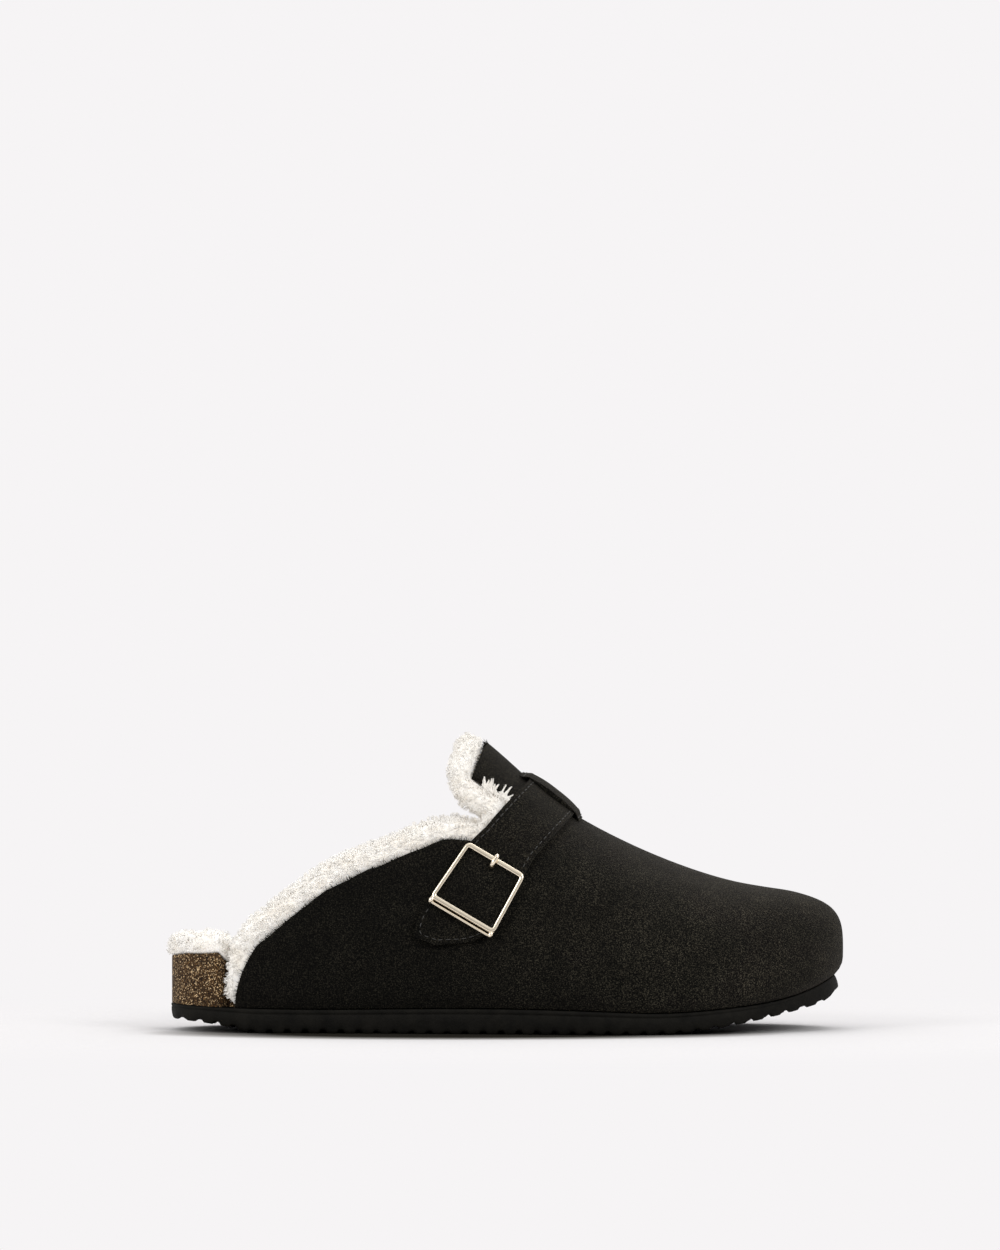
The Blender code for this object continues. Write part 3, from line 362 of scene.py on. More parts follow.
def last_point(station, rise, side):
    """A point of the upper's outer face: rise goes from 0 at the sole to 1 at the ridge."""
    station, rise = np.broadcast_arrays(np.asarray(station, float), np.asarray(rise, float))
    along = along_of(station)
    base_x, base_y = outline(station, side)
    lead = np.maximum(along - SPINE_END, 0)
    spine = np.where(along < SPINE_END, along, SPINE_END + SPINE_REACH * np.tanh(lead / SPINE_REACH))
    spine_x, spine_y = SOLE_LENGTH * spine, BALL_WIDTH * ridge_share(spine)
    reach = np.hypot(base_x - spine_x, base_y - spine_y)
    feather = 1 - FEATHER_INSET / reach
    belly = 1 + WALL * bulge_share(along) / reach
    foot_x = spine_x + (base_x - spine_x) * feather
    low = sole_top(foot_x / SOLE_LENGTH) + CLEARANCE
    wide = low + SOLE_THICKNESS * belly_share(along) / 2

    under = np.clip(rise / BELLY_SHARE, 0, 1)
    out_under = feather + (belly - feather) * (1 - (1 - under) ** 2)
    over = np.clip((rise - BELLY_SHARE) / (1 - BELLY_SHARE), 0, 1)
    back = 1 - over
    out_over = belly * (back**3 + 3 * back**2 * over + 3 * top_fullness(along) * back * over**2)
    lift = 3 * side_fullness(along) * back**2 * over + 3 * back * over**2 + over**3

    out = np.where(rise < BELLY_SHARE, out_under, out_over)
    x = spine_x + (base_x - spine_x) * out
    y = spine_y + (base_y - spine_y) * out
    top = roof(x / SOLE_LENGTH)
    z = np.where(rise < BELLY_SHARE, low + (wide - low) * under, wide + (top - wide) * lift)
    return np.stack([x, y, z], axis=-1)


def last_normal(station, rise, side):
    """The outward unit normal of the last there."""
    small = 1e-4
    station, rise = np.broadcast_arrays(np.asarray(station, float), np.asarray(rise, float))
    s0, s1 = np.clip(station - small, 0, 1), np.clip(station + small, 0, 1)
    r0, r1 = np.clip(rise - small, 0, 1), np.clip(rise + small, 0, 1)
    along = last_point(s1, rise, side) - last_point(s0, rise, side)
    up = last_point(station, r1, side) - last_point(station, r0, side)
    return unit(-side * np.cross(along, up))


def solve(function, low, high, steps=32):
    """Where a rising function crosses zero between low and high, by halving."""
    low, high = np.array(low, float), np.array(high, float)
    for _ in range(steps):
        middle = (low + high) / 2
        above = function(middle) > 0
        low, high = np.where(above, low, middle), np.where(above, middle, high)
    return (low + high) / 2


def rise_at(along, height, side):
    """How far up its rib the last reaches a height, where the ribs stand square to the length."""
    station = station_of(along)
    zeros = np.zeros(np.broadcast(station, height).shape)
    return solve(lambda rise: last_point(station, rise, side)[..., 2] - height, zeros, zeros + 1)


toe_tip = last_point(1.0, BELLY_SHARE, LATERAL) + SHIFT
print(f"the upper's toe reaches x = {toe_tip[0] * 1000:.1f} mm")

# %% [markdown]
# ## Turning grids of points into meshes
#
# Nearly every piece here is a grid of points, laid out column by column. Writing a mesh face by face in
# Python is slow, so the helper hands whole arrays to Blender at once. Doubled points, such as those at the
# toe's tip, are merged afterwards.

# %% Mesh helpers
def grid_faces(start, columns, rows):
    """Quads of a grid of points laid out column by column."""
    c, r = np.meshgrid(np.arange(columns - 1), np.arange(rows - 1), indexing="ij")
    a = (start + c * rows + r).ravel()
    return np.stack([a, a + 1, a + rows + 1, a + rows], axis=1)


def quad_normals(points, faces):
    """The cross product of each quad's diagonals: square to it, and twice its area long."""
    return np.cross(points[faces[:, 2]] - points[faces[:, 0]], points[faces[:, 3]] - points[faces[:, 1]])


def joined(arrays):
    """Several pairs of points and faces as one pair."""
    starts = np.cumsum([0] + [len(points) for points, _ in arrays[:-1]])
    points = np.concatenate([points for points, _ in arrays])
    faces = np.concatenate([faces + start for (_, faces), start in zip(arrays, starts)])
    return points, faces


def new_piece(name, points, faces, material, merge=True, normals=None):
    """An object from arrays of points and of faces with equal numbers of corners, riding on the shoe."""
    points, faces = np.asarray(points, float).reshape(-1, 3) + SHIFT, np.asarray(faces, int)
    mesh = bpy.data.meshes.new(name)
    mesh.vertices.add(len(points))
    mesh.vertices.foreach_set("co", points.astype(np.float32).ravel())
    mesh.loops.add(faces.size)
    mesh.loops.foreach_set("vertex_index", faces.ravel().astype(np.int32))
    mesh.polygons.add(len(faces))
    mesh.polygons.foreach_set("loop_start", np.arange(0, faces.size, faces.shape[1], dtype=np.int32))
    mesh.update(calc_edges=True)
    if merge:
        work = bmesh.new()
        work.from_mesh(mesh)
        bmesh.ops.remove_doubles(work, verts=work.verts, dist=1e-6)
        bmesh.ops.dissolve_degenerate(work, edges=work.edges, dist=1e-7)
        bmesh.ops.recalc_face_normals(work, faces=work.faces)
        work.to_mesh(mesh)
        work.free()
    mesh.shade_smooth()
    if normals is not None:
        mesh.normals_split_custom_set_from_vertices(normals)
    mesh.materials.append(material)
    piece = bpy.data.objects.new(name, mesh)
    bpy.context.scene.collection.objects.link(piece)
    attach(piece, "root")
    return piece


def sheet_arrays(outer, inner):
    """Points and quads of a closed solid between two grids of the same shape."""
    columns, rows = outer.shape[:2]
    half = columns * rows
    rim = list(range(rows)) + [c * rows + rows - 1 for c in range(1, columns)]
    rim += [(columns - 1) * rows + r for r in range(rows - 2, -1, -1)]
    rim += [c * rows for c in range(columns - 2, 0, -1)]
    rim = np.array(rim)
    ahead = np.roll(rim, -1)
    wall = np.stack([ahead, rim, rim + half, ahead + half], axis=1)
    faces = np.concatenate([grid_faces(0, columns, rows), grid_faces(half, columns, rows)[:, ::-1], wall])
    return np.concatenate([outer.reshape(-1, 3), inner.reshape(-1, 3)]), faces


def tube_arrays(rings, closed):
    """Points and quads of a tube through rings of points; an open tube is left open."""
    count, around = rings.shape[:2]
    i, k = np.meshgrid(np.arange(count if closed else count - 1), np.arange(around), indexing="ij")
    i, k = i.ravel(), k.ravel()
    ahead, turn = (i + 1) % count, (k + 1) % around
    faces = np.stack([i * around + k, i * around + turn, ahead * around + turn, ahead * around + k], axis=1)
    return rings.reshape(-1, 3), faces


def triangles(piece):
    """How many triangles a piece has once its modifiers are in place."""
    graph = bpy.context.evaluated_depsgraph_get()
    solid = piece.evaluated_get(graph)
    mesh = solid.to_mesh()
    count = sum(len(face.vertices) - 2 for face in mesh.polygons)
    solid.to_mesh_clear()
    return count


def soften(piece, width, segments=2, angle=40):
    """Rounds a piece's sharp edges with a small bevel."""
    bevel = piece.modifiers.new("Round edges", "BEVEL")
    bevel.width = width
    bevel.segments = segments
    bevel.limit_method = "ANGLE"
    bevel.angle_limit = math.radians(angle)
    bevel.harden_normals = False


print("helpers ready")

# %% [markdown]
# ## Irregularity
#
# Nothing hand-made is perfectly even. A small noise function, smooth and the same on every run, moves
# edges, locks and creases by fractions of a millimetre. It blends fixed random numbers at the corners of a
# grid of cubes.

# %% Smooth noise
def hashed(cells, seed):
    """A fixed random number from 0 to 1 for each row of whole numbers."""
    mixed = cells[..., 0] * 127.1 + cells[..., 1] * 311.7 + cells[..., 2] * 74.7 + seed * 19.19
    return np.mod(np.sin(mixed) * 43758.5453, 1.0)


def wobble(points, size, seed=0):
    """Smooth noise from -1 to 1 over points, with bumps about as wide as size."""
    scaled = np.asarray(points, float) / size
    cell = np.floor(scaled)
    inside = eased(scaled - cell)
    total = 0.0
    for corner in np.ndindex(2, 2, 2):
        corner = np.array(corner, float)
        weight = np.prod(np.where(corner == 1, inside, 1 - inside), axis=-1)
        total = total + weight * hashed(cell + corner, seed)
    return 2 * total - 1


sample = wobble(np.random.default_rng(1).random((500, 3)), 0.1)
print(f"noise runs from {sample.min():.2f} to {sample.max():.2f}")

# %% [markdown]
# ## Materials from nodes
#
# A surface is read by its grain long before its colour. Each material here is built from noise in the
# object's own space, at the true size of the grain in metres: the nap of suede and the granules of cork are
# a few tenths of a millimetre wide. A short helper adds one noise layer, so each finish stays readable.

# %% Node helpers
def new_material(name, roughness, metallic=0.0):
    """An empty Principled material, with its node tree, shader and coordinates."""
    made = bpy.data.materials.new(name)
    made.use_nodes = True
    tree = made.node_tree
    shader = tree.nodes["Principled BSDF"]
    shader.inputs["Roughness"].default_value = roughness
    shader.inputs["Metallic"].default_value = metallic
    place = tree.nodes.new("ShaderNodeTexCoord").outputs["Object"]
    return made, tree, shader, place


def grain(tree, place, size, detail=3.0, rough=0.55):
    """One layer of noise whose features are about size wide, in metres; returns its value from 0 to 1."""
    node = tree.nodes.new("ShaderNodeTexNoise")
    node.inputs["Scale"].default_value = 1 / size
    node.inputs["Detail"].default_value = detail
    node.inputs["Roughness"].default_value = rough
    tree.links.new(place, node.inputs["Vector"])
    return node.outputs[0]


def ramp(tree, value, stops):
    """A colour ramp through (position, red, green, blue) stops."""
    node = tree.nodes.new("ShaderNodeValToRGB")
    elements = node.color_ramp.elements
    while len(elements) < len(stops):
        elements.new(0.5)
    for element, (position, *colour) in zip(elements, stops):
        element.position = position
        element.color = (*colour, 1.0)
    tree.links.new(value, node.inputs["Fac"])
    return node.outputs["Color"]


def blended(tree, factor, first, second, mode="MIX"):
    """Two colours mixed by a factor, each a socket or a plain colour."""
    node = tree.nodes.new("ShaderNodeMix")
    node.data_type = "RGBA"
    node.blend_type = mode
    for socket, value in ((node.inputs["Factor"], factor), (node.inputs[6], first), (node.inputs[7], second)):
        if isinstance(value, bpy.types.NodeSocket):
            tree.links.new(value, socket)
        elif isinstance(value, tuple):
            socket.default_value = (*value, 1.0)
        else:
            socket.default_value = value
    return node.outputs[2]


def relief(tree, shader, layers):
    """Stacks bumps of (height socket, distance in metres, strength) into the shader's normal."""
    normal = None
    for height, distance, strength in layers:
        bump = tree.nodes.new("ShaderNodeBump")
        bump.inputs["Distance"].default_value = distance
        bump.inputs["Strength"].default_value = strength
        tree.links.new(height, bump.inputs["Height"])
        if normal is not None:
            tree.links.new(normal, bump.inputs["Normal"])
        normal = bump.outputs["Normal"]
    tree.links.new(normal, shader.inputs["Normal"])


print("node helpers ready")

# %% [markdown]
# ## Black suede
#
# Suede is leather, or a good imitation, brushed until short fibres stand up. It has almost no gloss. What
# it has is a soft bloom where the fibres catch light from above, and salt-and-pepper flecks where their
# tips lie in different directions. The bloom is the shader's sheen. The flecks are two sizes of fine noise
# over a near-black colour. That colour also carries painted light: it is darker at the heel and grows
# lighter towards the toe, for the stronger light the toe catches.

# %% Suede
NAP_SIZE, NAP_TIP_SIZE = 0.00050, 0.00034


def black_suede(name, cloud_size, lighter):
    """Brushed black suede, painted lighter to the toe; lighter is painted light for pieces lit squarely."""
    made, tree, shader, place = new_material(name, 0.95)
    clouds = grain(tree, place, cloud_size, 3.0, 0.6)
    nap = grain(tree, place, NAP_SIZE, 1.5, 0.6)
    tips = grain(tree, place, NAP_TIP_SIZE, 1.0, 0.5)
    # lighter scales both colours up: painted light for pieces that the light meets squarely.
    dark, light = 0.0016 * lighter, 0.0034 * lighter
    base = ramp(tree, clouds, (
        (0.30, dark, dark * 0.90, dark * 0.66),
        (0.70, light, light * 0.90, light * 0.66),
    ))
    salt = ramp(tree, nap, ((0.40, 0.15, 0.15, 0.15), (0.50, 0.80, 0.80, 0.80), (0.61, 5.0, 4.9, 4.7)))
    pepper = ramp(tree, tips, ((0.42, 0.35, 0.35, 0.35), (0.58, 1.9, 1.9, 1.9)))
    flecks = blended(tree, 1.0, salt, pepper, "MULTIPLY")
    # Painted light: the colour is scaled up from heel to toe, 0.8 to 2.0 times, for a brighter-lit toe.
    length = tree.nodes.new("ShaderNodeSeparateXYZ")
    tree.links.new(place, length.inputs[0])
    brushed_and_painted_light = tree.nodes.new("ShaderNodeMapRange")
    brushed_and_painted_light.interpolation_type = "SMOOTHSTEP"
    for socket, value in (("From Min", -0.06), ("From Max", 0.09), ("To Min", 0.80), ("To Max", 2.0)):
        brushed_and_painted_light.inputs[socket].default_value = value
    tree.links.new(length.outputs["X"], brushed_and_painted_light.inputs["Value"])
    nap_colour = blended(tree, 1.0, base, flecks, "MULTIPLY")
    shaded = blended(tree, 1.0, nap_colour, brushed_and_painted_light.outputs["Result"], "MULTIPLY")
    tree.links.new(shaded, shader.inputs["Base Color"])
    shader.inputs["Specular IOR Level"].default_value = 0.08
    shader.inputs["Sheen Weight"].default_value = 0.075
    shader.inputs["Sheen Roughness"].default_value = 0.50
    shader.inputs["Sheen Tint"].default_value = (0.60, 0.54, 0.46, 1.0)
    relief(tree, shader, ((nap, 0.00055, 1.0), (tips, 0.00020, 0.8)))
    return made


suede = black_suede("brushed suede", 0.014, 1.0)
# The strap's suede is a lit copy, painted 10 % lighter for the light that meets it squarely.
strap_suede = black_suede("brushed strap suede", 0.009, 1.1)
print("suede made with", len(suede.node_tree.nodes), "nodes")

# %% [markdown]
# ## Curly pile
#
# The lining is a curly pile like lamb's wool: fine cream fibres that twist together into small locks. The
# fibres are modelled, so the material only needs a soft, bright, slightly warm white that lets a little
# light through. Light that has wandered through many fibres before it leaves is slow to render, so a faint
# painted glow, an emission of the pile's own, stands for it.

# %% Pile
def cream_pile(name, warmth, glow):
    """Soft cream fibre; warmth, 0 to 1, takes it from white to cream; glow is painted light, an emission."""
    made, tree, shader, place = new_material(name, 1.0)
    patches = grain(tree, place, 0.007, 2.0, 0.5)
    cool = (0.915, 0.893, 0.856)
    warm = (0.900 - 0.020 * warmth, 0.866 - 0.030 * warmth, 0.812 - 0.045 * warmth)
    tree.links.new(ramp(tree, patches, ((0.35, *warm), (0.65, *cool))), shader.inputs["Base Color"])
    shader.inputs["Specular IOR Level"].default_value = 0.10
    shader.inputs["Sheen Weight"].default_value = 0.10
    shader.inputs["Sheen Roughness"].default_value = 0.6
    shader.inputs["Subsurface Weight"].default_value = 0.12
    shader.inputs["Subsurface Radius"].default_value = (0.0026, 0.0024, 0.0021)
    shader.inputs["Subsurface Scale"].default_value = 1.0
    # Painted light: an even glow of the fibres' own, standing for light scattered through the pile.
    shader.inputs["Emission Color"].default_value = (1.0, 0.94, 0.86, 1.0)
    shader.inputs["Emission Strength"].default_value = glow
    relief(tree, shader, ((grain(tree, place, 0.0014, 3.0, 0.6), 0.0004, 0.35),))
    return made


# Both pile materials carry painted light as a faint glow, weaker on the base under the locks.
pile = cream_pile("cream pile", 0.3, 0.10)
pile_base = cream_pile("cream pile under the locks", 0.8, 0.03)
print("pile made")

# %% [markdown]
# ## Cork, rubber and metal
#
# Cork is pressed from brown granules with lighter and darker ones between them, so a cell pattern gives
# each granule its own shade. The sole's rubber is matt black with a fine moulded skin. The buckle is pale
# gold plate, polished, which needs little more than a low roughness and faint scratches.

# %% Cork
GRANULE_SIZE = 0.00040


def pressed_cork():
    """Speckled brown cork with granules of well under a millimetre."""
    made, tree, shader, place = new_material("pressed cork", 0.88)
    cells = tree.nodes.new("ShaderNodeTexVoronoi")
    cells.inputs["Scale"].default_value = 1 / GRANULE_SIZE
    tree.links.new(place, cells.inputs["Vector"])
    shade = tree.nodes.new("ShaderNodeSeparateColor")
    tree.links.new(cells.outputs["Color"], shade.inputs["Color"])
    granules = ramp(tree, shade.outputs["Red"], (
        (0.00, 0.007, 0.0035, 0.0013),
        (0.25, 0.025, 0.0125, 0.0045),
        (0.60, 0.055, 0.028, 0.010),
        (0.84, 0.100, 0.054, 0.020),
        (0.97, 0.560, 0.400, 0.230),
    ))
    motes = grain(tree, place, 0.0008, 4.0, 0.7)
    dust = ramp(tree, motes, ((0.40, 0.35, 0.35, 0.35), (0.60, 1.8, 1.8, 1.75)))
    tree.links.new(blended(tree, 1.0, granules, dust, "MULTIPLY"), shader.inputs["Base Color"])
    shader.inputs["Specular IOR Level"].default_value = 0.2
    fine = grain(tree, place, 0.0005, 4.0, 0.7)
    relief(tree, shader, ((cells.outputs["Distance"], 0.0004, 0.5), (fine, 0.0002, 0.6)))
    return made


cork = pressed_cork()
print("cork made")

# %% [markdown]
# Rubber and plate need less. The rubber is one near-black with soft blotches and a fine moulded skin. The
# plate is a metal whose roughness varies a little, as plate does where fingers have rubbed it.

# %% Rubber and gold
def moulded_rubber():
    """Matt black sole rubber."""
    made, tree, shader, place = new_material("moulded rubber", 0.80)
    patches = grain(tree, place, 0.006, 3.0, 0.6)
    colour = ramp(tree, patches, ((0.3, 0.0026, 0.0023, 0.0016), (0.7, 0.0075, 0.0067, 0.0050)))
    tree.links.new(colour, shader.inputs["Base Color"])
    shader.inputs["Specular IOR Level"].default_value = 0.13
    skin = grain(tree, place, 0.0006)
    relief(tree, shader, ((grain(tree, place, 0.0024, 3.0, 0.6), 0.0005, 0.4), (skin, 0.00015, 0.6)))
    return made


def polished_gold(name, colour):
    """Pale gold plate with hairline wear."""
    made, tree, shader, place = new_material(name, 0.2, metallic=1.0)
    wear = grain(tree, place, 0.0030, 4.0, 0.6)
    tone = tuple(value * 0.93 for value in colour)
    tree.links.new(ramp(tree, wear, ((0.35, *tone), (0.65, *colour))), shader.inputs["Base Color"])
    rubbed = grain(tree, place, 0.0012, 4.0, 0.7)
    haze = ramp(tree, rubbed, ((0.3, 0.10, 0.10, 0.10), (0.7, 0.24, 0.24, 0.24)))
    tree.links.new(haze, shader.inputs["Roughness"])
    return made


rubber = moulded_rubber()
gold = polished_gold("pale gold", (0.94, 0.83, 0.66))
print("rubber and gold made")

# %% [markdown]
# ## The upper
#
# The upper is one piece of suede: vamp, two quarters and a tongue that grows out of the vamp. It is drawn
# as six grids on the last, three for each side, that share their seams. A Solidify modifier gives it the
# hide's thickness inwards, as on the solid, and a tiny bevel softens the cut edges.

# %% Grids of the upper
SIDE_ROWS, CROWN_ROWS = 30, 26
VAMP_COLUMNS, QUARTER_COLUMNS, TONGUE_COLUMNS = 84, 84, 18


def notch_rises(side):
    """The rows of the upper at the notch's column, up to the notch and on to the ridge."""
    low = float(last_point(station_of(NOTCH_ALONG), 0.0, side)[2])
    side_rises = rise_at(NOTCH_ALONG, np.linspace(low, NOTCH_HEIGHT, SIDE_ROWS + 1), side)
    side_rises[0] = 0.0
    return side_rises, np.linspace(side_rises[-1], 1.0, CROWN_ROWS + 1)


def vamp_grid(side):
    """Stations and rises of the closed front, from the notch to the toe's tip."""
    side_rises, crown_rises = notch_rises(side)
    rises = np.concatenate([side_rises, crown_rises[1:]])
    stations = np.linspace(float(station_of(NOTCH_ALONG)), 1.0, VAMP_COLUMNS + 1)
    return np.broadcast_arrays(stations[:, None], rises[None, :])


def quarter_grid(side):
    """Stations and rises of one quarter, from the notch back to the leaning back edge."""
    steps = np.linspace(0, 1, QUARTER_COLUMNS + 1)
    collar_along = NOTCH_ALONG + (COLLAR_CORNER - NOTCH_ALONG) * steps
    base_along = collar_along - BACK_LEAN / SOLE_LENGTH * steps**3
    rows = np.linspace(0, 1, SIDE_ROWS + 1)
    along = base_along[:, None] + (collar_along - base_along)[:, None] * rows[None, :] ** 2
    low = sole_top(along) + CLEARANCE
    high = QUARTER_HEIGHT * collar_share(collar_along)[:, None]
    high[0] = NOTCH_HEIGHT
    run = np.stack([SOLE_LENGTH * collar_along, 0 * steps + side, 0 * steps], -1)
    ragged = 0.00050 * wobble(run, 0.0075, 3) + 0.00035 * wobble(run, 0.0035, 4)
    high = high + (ragged * np.minimum(8 * steps, 1))[:, None]
    rise = rise_at(along, low + (high - low) * rows[None, :], side)
    rise[:, 0] = 0.0
    return station_of(along), rise


def tongue_grid(side):
    """Stations and rises of half of the tongue, from the notch back to its end."""
    steps = np.linspace(0, 1, TONGUE_COLUMNS + 1)
    rows = np.linspace(0, 1, CROWN_ROWS + 1)
    edge_along, ridge_along = tongue_edge(steps), tongue_ridge(steps)
    edge_rise = rise_at(edge_along, TONGUE_HEIGHT * tongue_height(steps), side)
    edge_rise[0] = notch_rises(side)[0][-1]
    bow = 1 - (1 - rows[None, :]) ** 2
    along = edge_along[:, None] + (ridge_along - edge_along)[:, None] * bow
    rise = edge_rise[:, None] + (1 - edge_rise)[:, None] * rows[None, :]
    return station_of(along), rise


print("upper grids:", VAMP_COLUMNS + QUARTER_COLUMNS + TONGUE_COLUMNS, "columns a side")

# %% [markdown]
# Soft creases keep the suede from looking like plastic. Each is a shallow trough or ridge, placed where the
# hide gives: behind the toes where the foot bends, at the throat under the strap, and along the quarter.

# %% Creases
Crease = namedtuple("Crease", "side along height length width turn depth")
CREASES = (
    Crease(LATERAL, 0.640, 0.0440, 0.030, 0.0055, 62, -0.00085),
    Crease(LATERAL, 0.585, 0.0560, 0.026, 0.0055, 58, -0.00075),
    Crease(LATERAL, 0.735, 0.0400, 0.026, 0.0065, 74, -0.00065),
    Crease(LATERAL, 0.690, 0.0300, 0.034, 0.0080, 35, 0.00060),
    Crease(LATERAL, 0.360, 0.0350, 0.040, 0.0090, 8, -0.00075),
    Crease(LATERAL, 0.270, 0.0290, 0.024, 0.0080, 50, 0.00060),
    Crease(LATERAL, 0.480, 0.0300, 0.030, 0.0080, -20, 0.00055),
    Crease(MEDIAL, 0.640, 0.0440, 0.030, 0.0050, 60, -0.00055),
    Crease(MEDIAL, 0.590, 0.0540, 0.028, 0.0055, 55, -0.00050),
    Crease(MEDIAL, 0.740, 0.0380, 0.024, 0.0060, 75, -0.00040),
    Crease(MEDIAL, 0.420, 0.0360, 0.040, 0.0085, -10, -0.00050),
    Crease(MEDIAL, 0.300, 0.0300, 0.030, 0.0080, 25, 0.00040),
)


def crease_depth(points, side):
    """How far the hide stands out at points of one side, with the creases and a gentle unevenness."""
    total = 0.00035 * wobble(points, 0.021, 11) + 0.00014 * wobble(points, 0.008, 12)
    for crease in CREASES:
        if crease.side != side:
            continue
        x = points[..., 0] - crease.along * SOLE_LENGTH
        z = points[..., 2] - crease.height
        turn = math.radians(crease.turn)
        along = x * math.cos(turn) + z * math.sin(turn)
        across = -x * math.sin(turn) + z * math.cos(turn)
        shape = np.exp(-((along / crease.length) ** 2) * 3) * np.exp(-((across / crease.width) ** 2) * 2)
        total = total + crease.depth * shape
    return total


print("creases placed:", len(CREASES))

# %% [markdown]
# The grids, creased and joined, become the upper. The seam between the two halves along the ridge keeps no
# crease, because both sides must meet there.

# %% Build the upper
def creased(grid, side):
    """Points of the upper on one side, moved out or in by the creases."""
    station, rise = grid
    point, normal = last_point(station, rise, side), last_normal(station, rise, side)
    ridge_fade = np.clip((1 - rise) / 0.25, 0, 1)[..., None]
    sole_fade = np.clip(rise / 0.2, 0, 1)[..., None]
    return point + normal * crease_depth(point, side)[..., None] * ridge_fade * sole_fade


def build_upper():
    """The whole upper as one hide."""
    arrays = []
    for side in (LATERAL, MEDIAL):
        for grid in (vamp_grid(side), quarter_grid(side), tongue_grid(side)):
            block = creased(grid, side)
            arrays.append((block.reshape(-1, 3), grid_faces(0, *block.shape[:2])))
    hide = new_piece("suede_upper", *joined(arrays), suede)
    toe = max(hide.data.polygons, key=lambda face: face.center.x)
    if toe.normal.x < 0:
        hide.data.flip_normals()
    wall = hide.modifiers.new("Hide thickness", "SOLIDIFY")
    wall.thickness = WALL
    wall.offset = -1
    wall.use_even_offset = True
    soften(hide, 0.00045)
    return hide


upper = build_upper()
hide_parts("upper")
print("upper triangles:", triangles(upper))

# %% [markdown]
# ## The sole
#
# The outsole is a black rubber sheet moulded with wavy cross grooves. They break out through its side and
# give it a scalloped lower edge. Its side carries a fine lip just under the upper. Each cross-section is
# one closed ring of points: across the top, down the side past the lip, under the tread and up again.

# %% Tread
LUG_PITCH = 0.0068
GROOVE_DEPTH = 0.0015
GROOVE_WAVE = 0.0035
SOLE_TAPER = 0.0008
TOE_LIP = 0.0015
PLAIN_PADS = ((0.125, 0.225), (0.565, 0.675))
TREAD_PHASE, GROOVE_PLACE, GROOVE_HALF, GROOVE_SLOPE = 0.474, 0.26, 0.235, 0.10
PAD_HALF, PAD_SOFT, TREAD_END = 0.45, 0.08, 0.012
GROOVE_TOP = 0.42
SideRow = namedtuple("SideRow", "height inset")
SIDE_PROFILE = (
    SideRow(1.00, 0.50),
    SideRow(0.975, 0.18),
    SideRow(0.93, 0.02),
    SideRow(0.86, 0.04),
    SideRow(0.825, 0.26),
    SideRow(0.79, 0.42),
    SideRow(0.755, 0.26),
    SideRow(0.71, 0.10),
    SideRow(0.50, 0.12),
    SideRow(0.34, 0.30),
    SideRow(0.16, 0.62),
    SideRow(0.05, 1.05),
)


def groove(x, share, along):
    """Depth of the wavy tread, from 0 on a lug to 1 in a groove."""
    fade = np.clip(np.minimum(along, 1 - along) / 0.12, 0, 1)
    wave = GROOVE_WAVE * (1 - share**2) * np.cos(3 * np.pi * share) * fade
    phase = (x - wave) / LUG_PITCH - TREAD_PHASE
    away = np.abs(phase - np.round(phase) - GROOVE_PLACE)
    away = np.minimum(away, np.abs(phase - np.round(phase) + (1 - GROOVE_PLACE)))
    cut = np.clip((GROOVE_HALF - away) / GROOVE_SLOPE, 0, 1)
    worn = 0.78 + 0.22 * wobble(np.stack([x, 0 * x + share, 0 * x], -1), 0.011, 15)
    cut = eased(cut) * worn
    pad = 0.0
    for start, end in PLAIN_PADS:
        inside = np.clip(np.minimum(along - start, end - along) / TREAD_END, 0, 1)
        pad = np.maximum(pad, inside * np.clip((PAD_HALF - np.abs(share)) / PAD_SOFT, 0, 1))
    ends = np.clip(np.minimum(along, 1 - along) / TREAD_END, 0, 1)
    return cut * (1 - pad) * ends


print(f"tread pitch {LUG_PITCH * 1000:.1f} mm, {GROOVE_DEPTH * 1000:.1f} mm deep")

# %% [markdown]
# The rings follow the plan outline, so the sole keeps the solid's edge exactly. A closed ring at each
# station also means that the groove and the lip need no cutting tool: they are only moved points.

# %% Build the sole
def build_sole():
    """The outsole as one ring of points per station."""
    stations = np.unique(np.concatenate([
        station_of(np.linspace(0.0, 1.0, 301)),
        station_of(np.array([0.0008, 0.0018, 0.9982, 0.9992])),
    ]))
    along = along_of(stations)
    toe = np.clip((along - 0.9) / 0.1, 0, 1)
    low = sole_bottom(along)

    def side_rows(side, profile):
        for row in profile:
            lean = SOLE_TAPER * row.inset * (1 - toe) + TOE_LIP * toe * row.height**1.5
            x, y = edge(stations, side, lean)
            fade = np.clip((GROOVE_TOP - row.height) / GROOVE_TOP, 0, 1)
            cut = GROOVE_DEPTH * groove(x, side, along) * fade
            yield np.stack([x, y, low + (sole_top(x / SOLE_LENGTH) - low) * row.height + cut], -1)

    def face_rows(inset, shares, height_of):
        left, right = edge(stations, LATERAL, inset), edge(stations, MEDIAL, inset)
        for share in shares:
            x = left[0] + (right[0] - left[0]) * (share + 1) / 2
            y = left[1] + (right[1] - left[1]) * (share + 1) / 2
            yield np.stack([x, y, height_of(x, share)], -1)

    def tread_height(x, share):
        return low + GROOVE_DEPTH * groove(x, share, along)

    def top_height(x, share):
        return sole_top(x / SOLE_LENGTH)

    rings = [
        *side_rows(LATERAL, SIDE_PROFILE),
        *face_rows(SOLE_TAPER * 1.6 * (1 - toe), np.linspace(-1, 1, 45), tread_height),
        *side_rows(MEDIAL, SIDE_PROFILE[::-1]),
        *face_rows(0.0009 + TOE_LIP * toe, np.linspace(1, -1, 7), top_height),
    ]
    rings = np.stack(rings, axis=1)
    points, faces = tube_arrays(rings, closed=False)
    return new_piece("rubber_outsole", points, faces, rubber)


sole = build_sole()
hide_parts("outsole")
print("sole triangles:", triangles(sole))

